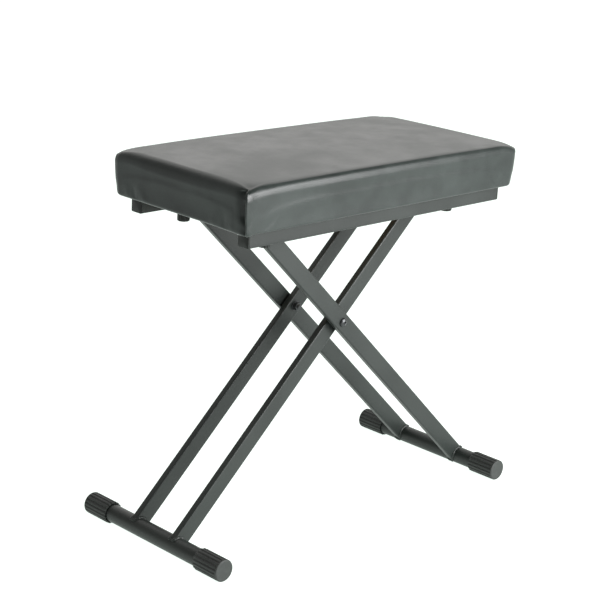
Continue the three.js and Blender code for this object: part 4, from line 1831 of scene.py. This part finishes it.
    def _radius(self, share: float, corner: int) -> float:
        """Radius of a corner of the outline on the side wall.

        Args:
            share: How far down the wall, from 0 to 1.
            corner: Number of the corner.

        Returns:
            The radius.
        """
        high = (self.high_corners[corner] - self.corner) * fading(share, self.high_fade)
        low = (self.low_corners[corner] - self.corner) * fading(1 - share, self.low_fade)
        return self.corner + high + low

    def _outside(self, counts: Counts, crown_rings: int) -> list[Ring]:
        """Rings over the top, down the sides and round the lower edge.

        Args:
            counts: Steps round a corner, along a long side and along a short side.
            crown_rings: Rings over the flat of the top.

        Returns:
            The rings, from the top down.
        """
        half_x, half_y = self.half_length, self.half_depth
        limit = self._outline(half_x, half_y, self.high_corners, counts)
        loose = [1 - self.pinch * self._near_corner(x, y) for x, y in limit]
        flat = self._outline(half_x - self.roll_end, half_y - self.roll_side, (self.top_corner,) * 4, counts)
        flat = [(a + (x - a) * k, b + (y - b) * k) for (x, y), (a, b), k in zip(flat, limit, loose)]
        rings: list[Ring] = []
        for index in range(1, crown_rings + 1):
            share = (index / crown_rings) ** 0.9
            spots = [(x * share, y * share) for x, y in flat]
            rings.append([Vector((x, y, self._crowned(x, y))) for x, y in spots])
        rolls = [self._roll(self._bend(x, y)) for x, y in limit]
        feet = [self._edge(x, y) - roll[-1][1] for (x, y), roll in zip(limit, rolls)]
        heads = [point.z for point in rings[-1]]
        for step in range(sum(self.roll_steps)):
            ring = []
            for (x, y), (a, b), foot, head, roll in zip(flat, limit, feet, heads, rolls):
                out, drop = roll[step][0] / roll[-1][0], roll[step][1] / roll[-1][1]
                ring.append(Vector((x + (a - x) * out, y + (b - y) * out, head + (foot - head) * drop)))
            rings.append(ring)
        rings += self._wall(feet, counts)
        for ring in rings:
            for point in ring:
                point.x += self.shift[0]
                point.y += self.shift[1]
        return rings

    def _wall(self, feet: Sequence[float], counts: Counts) -> list[Ring]:
        """Rings down the side wall and round the lower edge.

        Args:
            feet: Height at which the rolled edge ends, for each point of the outline.
            counts: Steps round a corner, along a long side and along a short side.

        Returns:
            The rings, from the top down.
        """
        half_x, half_y = self.half_length, self.half_depth
        rings: list[Ring] = []
        low = self.bottom + self.lower_roll
        for step in range(1, self.side_rings + 1):
            share = step / self.side_rings
            inset, pull = self.taper * share, self.waist * math.sin(math.pi * share)
            radii = [self._radius(share, corner) for corner in range(4)]
            outline = self._outline(half_x - inset, half_y - inset, radii, counts, pull)
            rings.append([Vector((x, y, foot + (low - foot) * share)) for (x, y), foot in zip(outline, feet)])
        for step in range(1, self.lower_rings + 1):
            turn = QUARTER * step / self.lower_rings
            inset = self.taper + self.lower_roll * (1 - math.cos(turn))
            z = self.bottom + self.lower_roll * (1 - math.sin(turn))
            outline = self._outline(half_x - inset, half_y - inset, self.low_corners, counts)
            rings.append([Vector((x, y, z)) for x, y in outline])
        return rings

    def _inside(self, counts: Counts) -> list[Ring]:
        """Rings over the stapled margin and round the hollow that holds the board.

        Args:
            counts: Steps round a corner, along a long side and along a short side.

        Returns:
            The rings, from the lower edge inwards and up.
        """
        under = self.board_bottom - self.lift
        over = self.board_top + self.lift
        rows = (
            (12.0, self.bottom),
            (18.0, self.bottom),
            (self.margin - 0.4, self.bottom),
            (self.margin, self.bottom + 0.3),
            (self.margin, under),
            (14.0, under),
            (self.board_inset + 1.4, under),
            (self.board_inset, under + 1.5),
            (self.board_inset, over),
            (60.0, over),
        )
        half_x, half_y = self.inner_half
        rings: list[Ring] = []
        for inset, z in rows:
            radii = (max(self.corner - inset, self.inner_corner),) * 4
            outline = self._outline(half_x - inset, half_y - inset, radii, counts)
            rings.append([Vector((x, y, z)) for x, y in outline])
        return rings

    def _close(self, outside: Sequence[Ring], inside: Sequence[Ring]) -> Shape:
        """Closed skin over both sets of rings.

        Args:
            outside: Rings of the cover's outside.
            inside: Rings of the margin and the hollow.

        Returns:
            The cushion.
        """
        peak = Vector((0, 0, outside[0][0].z + 0.02))
        floor = Vector((0, 0, self.board_top + self.lift))
        return Shape().skin([*outside, *inside], first=peak, last=floor).flipped()

    def _proxy(self) -> bpy.types.Object:
        """Evenly meshed stand-in for the cushion, for the cloth simulation.

        Returns:
            The stand-in, without modifiers.
        """
        rough = self._close(
            self._outside(self.rough_counts, self.rough_crown_rings),
            self._inside(self.rough_counts),
        )
        proxy = bpy.data.objects.new("cushion_proxy", rough.mesh("cushion_proxy", 60.0))
        bpy.context.scene.collection.objects.link(proxy)
        even = proxy.modifiers.new("even", "REMESH")
        even.mode = "VOXEL"
        even.voxel_size = self.voxel * METRES
        graph = bpy.context.evaluated_depsgraph_get()
        mesh = bpy.data.meshes.new_from_object(proxy.evaluated_get(graph))
        proxy.modifiers.clear()
        proxy.data = mesh
        return proxy

    def _swollen(self, proxy: bpy.types.Object, rest: Sequence[Vector]) -> list[Vector]:
        """Swell the stand-in over the foam as cloth that is stapled to the board.

        Args:
            proxy: The stand-in.
            rest: Places of its points before, in metres.

        Returns:
            The move of each point, in millimetres.
        """
        scene = bpy.context.scene
        stapled = proxy.vertex_groups.new(name="stapled")
        held = [i for i, place in enumerate(rest) if place.z < (self.board_top + 1) * METRES]
        stapled.add(held, 1.0, "REPLACE")
        cloth = proxy.modifiers.new("cloth", "CLOTH").settings
        cloth.quality = 6
        cloth.mass = 0.4
        cloth.vertex_group_mass = "stapled"
        cloth.tension_stiffness = 14
        cloth.compression_stiffness = 12
        cloth.shear_stiffness = 6
        cloth.bending_stiffness = 3
        cloth.use_pressure = True
        cloth.uniform_pressure_force = 4
        cloth.effector_weights.gravity = 0
        for number in range(1, self.frames + 1):
            scene.frame_set(number)
        swollen = proxy.evaluated_get(bpy.context.evaluated_depsgraph_get()).to_mesh()
        moves = [(vertex.co - place) / METRES for vertex, place in zip(swollen.vertices, rest)]
        scene.frame_set(1)
        return moves

    def _settle(self, outside: Sequence[Ring]) -> None:
        """Let the cover settle over the foam in a cloth simulation and move the outside with it.

        Args:
            outside: Rings of the cover's outside.
        """
        proxy = self._proxy()
        rest = [vertex.co.copy() for vertex in proxy.data.vertices]
        moves = self._swollen(proxy, rest)
        tree = kdtree.KDTree(len(rest))
        for index, place in enumerate(rest):
            tree.insert(place, index)
        tree.balance()
        reach = self.follow_reach * METRES
        for ring in outside:
            for point in ring:
                near = tree.find_n(point * METRES, self.follow_points)
                weights = [fading(away, reach) for _, _, away in near]
                pulls = (moves[index] * weight for (_, index, _), weight in zip(near, weights))
                move = sum(pulls, Vector()) / sum(weights)
                ease = clamp((point.z - self.board_top) / self.swell_rise)
                if move.length > 0:
                    point += move * (self.swell * math.tanh(move.length / self.swell) / move.length * ease)
        largest = max(move.length for move in moves)
        LOG.info("cushion settled, %d points, largest move %.1f mm", len(rest), largest)
        bpy.data.objects.remove(proxy)

    def _folds(self) -> list[Fold]:
        """Folds at the corners, where the vinyl is gathered, and pull marks along the sides.

        Returns:
            The folds.
        """
        folds: list[Fold] = []
        for sx, sy in product((-1, 1), (-1, 1)):
            outward = Vector((sx, sy, 1))
            front = Vector((self.half_length - 51, self.half_depth - 2, self.bottom + 5)) * outward
            flank = Vector((self.half_length - 3, self.half_depth - 53, self.bottom + 3)) * outward
            marks = (
                (front, (0, 0, 0), (-24, 0, 24), 3.4, 0.5),
                (front, (12, 0, 0), (-4, 0, 16), 4.0, -0.4),
                (flank, (0, 0, 0), (0, 2, 20), 3.0, -1.3),
                (flank, (0, -26, 0), (0, -4, 24), 8.0, 1.0),
                (flank, (0, 16, 1), (0, 21, 22), 6.0, 0.8),
            )
            for root, start, end, width, height in marks:
                ends = (root + Vector(start) * outward, root + Vector(end) * outward)
                folds.append(Fold(*ends, width, height))
        return folds

    def _near_radius(self, z: float) -> float:
        """Radius of the near corner of the outline at a height."""
        wall = self.roll_foot - self.bottom - self.lower_roll
        return self._radius(clamp((self.roll_foot - z) / wall), 2)

    def _rounded_reach(self, turn: float, radius: float) -> float:
        """Distance of a rounded corner's outline from the centre of the widest arc.

        Args:
            turn: Turn about that centre.
            radius: Radius of the rounded corner.

        Returns:
            The distance.
        """
        sine, cosine = math.sin(turn), math.cos(turn)
        centre = self.corner - radius
        if self.corner * min(sine, cosine) <= centre * max(sine, cosine):
            return self.corner / max(sine, cosine)
        both = centre * (sine + cosine)
        return both + math.sqrt(max(both**2 - 2 * centre**2 + radius**2, 0.0))

    def _fold_over(self, over_x: float, over_y: float, plan_radius: float) -> tuple[float, float]:
        """How far the corner's flap and tuck move a point in plan.

        Args:
            over_x: Distance of the point past the corner arc's centre along the length.
            over_y: The same along the depth.
            plan_radius: Radius of the corner at the point's height.

        Returns:
            The move along the length and along the depth, outward positive.
        """
        radius = self.corner
        if over_x <= 0:
            place, base = -self.crease_turn * radius + over_x, (over_x, radius)
        elif over_y <= 0:
            place, base = (QUARTER - self.crease_turn) * radius - over_y, (radius, over_y)
        else:
            turn = math.atan2(over_x, over_y)
            place = (turn - self.crease_turn) * radius
            reach = self._rounded_reach(turn, plan_radius)
            base = (reach * math.sin(turn), reach * math.cos(turn))
        path = self.fold_path
        if not path[0][0] < place < path[-1][0]:
            return (0.0, 0.0)
        index = next(i for i in range(1, len(path)) if path[i][0] >= place)
        (s0, x0, y0), (s1, x1, y1) = path[index - 1], path[index]
        share = (place - s0) / (s1 - s0)
        return (x0 + (x1 - x0) * share - base[0], y0 + (y1 - y0) * share - base[1])

    def _press(self, point: Vector, folds: Sequence[Fold]) -> None:
        """Press the folds, the slow waves and the corner's flap into one point of the outside.

        Args:
            point: Point to move.
            folds: Folds of the cover.
        """
        x, y = point.x - self.shift[0], point.y - self.shift[1]
        sx, sy = math.copysign(1, x), math.copysign(1, y)
        over_x = abs(x) - self.half_length + self.corner
        over_y = abs(y) - self.half_depth + self.corner
        above = point.z - (self.shoulder - self.top_depth)
        lean = (sx * max(over_x, 0.0) ** 2, sy * max(over_y, 0.0) ** 2, max(above, 0.0) ** 2 + 0.01)
        free = clamp((point.z - self.bottom) / self.hem)
        loose = 1 - self.top_stillness * clamp(above / self.top_span)
        lift = sum(fold.lift(point) for fold in folds)
        point += Vector(lean).normalized() * free * (lift + loose * self._wave(point))

        near = sx < 0 and sy < 0
        rise = point.z - self.bottom
        if near:
            past_rail = smooth((abs(point.x) - self.rail_end) / self.sag_start)
            low = smooth((self.sag_height - rise) / self.sag_height)
            inward = max(self.half_depth - abs(y), 0.0)
            point.z -= self.sag * (past_rail * low) * fading(inward, self.sag_reach)
        if over_x > -self.fold_reach and over_y > -self.fold_reach:
            share = self.near_flap if near else self.far_flap
            share *= smooth((self.fold_top - point.z) / self.fold_fade) * self._fullness(rise)
            radius = self._near_radius(point.z) if near else self.corner
            if sy < 0:
                out_x, out_y = self._fold_over(over_x, over_y, radius)
            else:
                out_y, out_x = self._fold_over(over_y, over_x, radius)
            point.x += sx * out_x * share
            point.y += sy * out_y * share

    def _wave(self, point: Vector) -> float:
        """Slow and quick unevenness of the vinyl at a point.

        Args:
            point: Point on the cushion.

        Returns:
            How far the vinyl stands out, in millimetres.
        """
        slow = noise.noise(point * self.slow_rate + Vector(self.slow_seed))
        quick = noise.noise(point * self.quick_rate + Vector(self.quick_seed))
        return self.slow_wave * slow + self.quick_wave * quick

    def _fullness(self, rise: float) -> float:
        """Share of the flap at a height over the lower edge, where the staples hold it flat.

        Args:
            rise: The height.

        Returns:
            The share, which gains in each stretch of the fullness from its start over its span.
        """
        gains = (gain * smooth((rise - start) / span) for start, span, gain in self.fullness)
        return sum(gains, self.stapled_share)


@dataclass(frozen=True)
class SoftBox:
    """Area light that points at the bench."""

    name: str
    at: Bend
    aim: Bend
    size: tuple[float, float]
    watts: float
    colour: Colour = (1.0, 0.99, 1.0)

    def stand(self) -> None:
        """Put the light in the scene."""
        light = bpy.data.lights.new(self.name, "AREA")
        light.shape = "RECTANGLE"
        light.size, light.size_y = self.size
        light.energy = self.watts
        light.color = self.colour
        lamp = bpy.data.objects.new(self.name, light)
        lamp.location = self.at
        lamp.rotation_euler = (Vector(self.aim) - Vector(self.at)).to_track_quat("-Z", "Y").to_euler()
        bpy.context.scene.collection.objects.link(lamp)


@dataclass
class Studio:
    """Floor, world, lights and camera."""

    floor_half: float = 30.0
    floor_drop: float = 0.0002
    air: Colour = (0.98, 0.97, 0.95, 1.0)
    key: SoftBox = SoftBox("key", (0.5, -1.5, 1.3), (0, -0.1, 0.5), (1.0, 0.8), 20.0)
    fill: SoftBox = SoftBox("fill", (0.9, -2.4, 0.95), (0, 0, 0.35), (2.0, 1.5), 118.0)
    camera_at: Bend = (-1.93096994, -1.88462105, 1.16824961)
    right: Bend = (0.7143137208, -0.6978439282, 0.0526285105)
    up: Bend = (0.1678185856, 0.2438158674, 0.9551914704)
    back: Bend = (-0.6794062338, -0.6734743311, 0.2912722005)
    focal_pixels: float = 1712.77
    frame_pixels: float = 600.0
    sensor: float = 36.0
    half_pixel: float = 0.5
    far: float = 200.0

    def build(self) -> None:
        """Set up the studio, with a large soft box low at the front right and a small one above it."""
        self._floor()
        self._world()
        self.key.stand()
        self.fill.stand()
        self._camera()

    def _floor(self) -> None:
        """Pale floor under the feet."""
        half = self.floor_half
        mesh = bpy.data.meshes.new("floor")
        corners = [(-half, -half, 0), (half, -half, 0), (half, half, 0), (-half, half, 0)]
        mesh.from_pydata(corners, [], [(0, 1, 2, 3)])
        floor = bpy.data.objects.new("floor", mesh)
        floor.location.z = -self.floor_drop
        bpy.context.scene.collection.objects.link(floor)
        mesh.materials.append(StudioWhite("studio_floor", (0.3, 0.3, 0.3), 0.9).material())

    def _world(self) -> None:
        """Surroundings: pale low at the back, a bright patch and a veil above, and dim elsewhere."""
        world = bpy.data.worlds.new("studio")
        bpy.context.scene.world = world
        world.use_nodes = True
        board = ShaderBoard(world.node_tree)
        way = board.node("ShaderNodeTexCoord", output="Generated")

        def toward(direction: Sequence[float]) -> Signal:
            """Cosine between the looked-up direction and another."""
            return board.along(way, Vector(direction).normalized())

        rise = toward((0, 0, 1))
        band = board.between(0.3, 1.0, rise, (0.06, 0.3)) * board.between(1.0, 0.0, rise, (0.4, 0.6))
        back_right = board.mask(toward((0.75, 0.62, 0.25)), 0.35, 0.85)
        back_left = board.mask(toward((-0.75, 0.6, 0.1)), 0.2, 0.8)
        around = board.between(0.5, 0.0, rise, (0.0, 0.4)) * back_left
        patch = board.mask(toward((0.4, 0.7, 0.6)), 0.84, 0.96)
        bright = 1.0 - (1.0 - band * back_right) * (1.0 - patch * 0.62)
        veil = board.between(0.0, 0.3, toward((-0.3, 0.68, 0.66)), (0.6, 0.95))
        strength = 0.15 + bright * 1.56 + around + veil
        glow = board.node("ShaderNodeBackground", {}, {"Color": self.air, "Strength": strength})
        board.node("ShaderNodeOutputWorld", {}, {"Surface": glow})

    def _camera(self) -> None:
        """Camera at the photograph's place."""
        lens = bpy.data.cameras.new("camera")
        lens.sensor_width = self.sensor
        lens.lens = self.focal_pixels / self.frame_pixels * self.sensor
        lens.shift_x = -self.half_pixel / self.frame_pixels
        lens.shift_y = self.half_pixel / self.frame_pixels
        lens.clip_end = self.far
        camera = bpy.data.objects.new("camera", lens)
        turn = Matrix(list(zip(self.right, self.up, self.back)))
        camera.matrix_world = Matrix.Translation(self.camera_at) @ turn.to_4x4()
        bpy.context.scene.collection.objects.link(camera)
        bpy.context.scene.camera = camera


def main() -> None:
    """Load the frame, make every piece and set up the studio."""
    logging.basicConfig(level=logging.INFO, format="%(message)s")
    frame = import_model()
    shop = Workshop(frame)
    Studio().build()
    Undercarriage().build(shop)
    Rails().build(shop)
    Knobs().build(shop)
    LegPair(Pair.OUTER, 70.5).build(shop)
    LegPair(Pair.INNER, 53.2).build(shop)
    PivotHardware().build(shop)
    Cushion().build(shop)
    bpy.context.scene.view_settings.view_transform = "Standard"
    LOG.info("%d pieces made", shop.made)


if __name__ == "__main__":
    main()
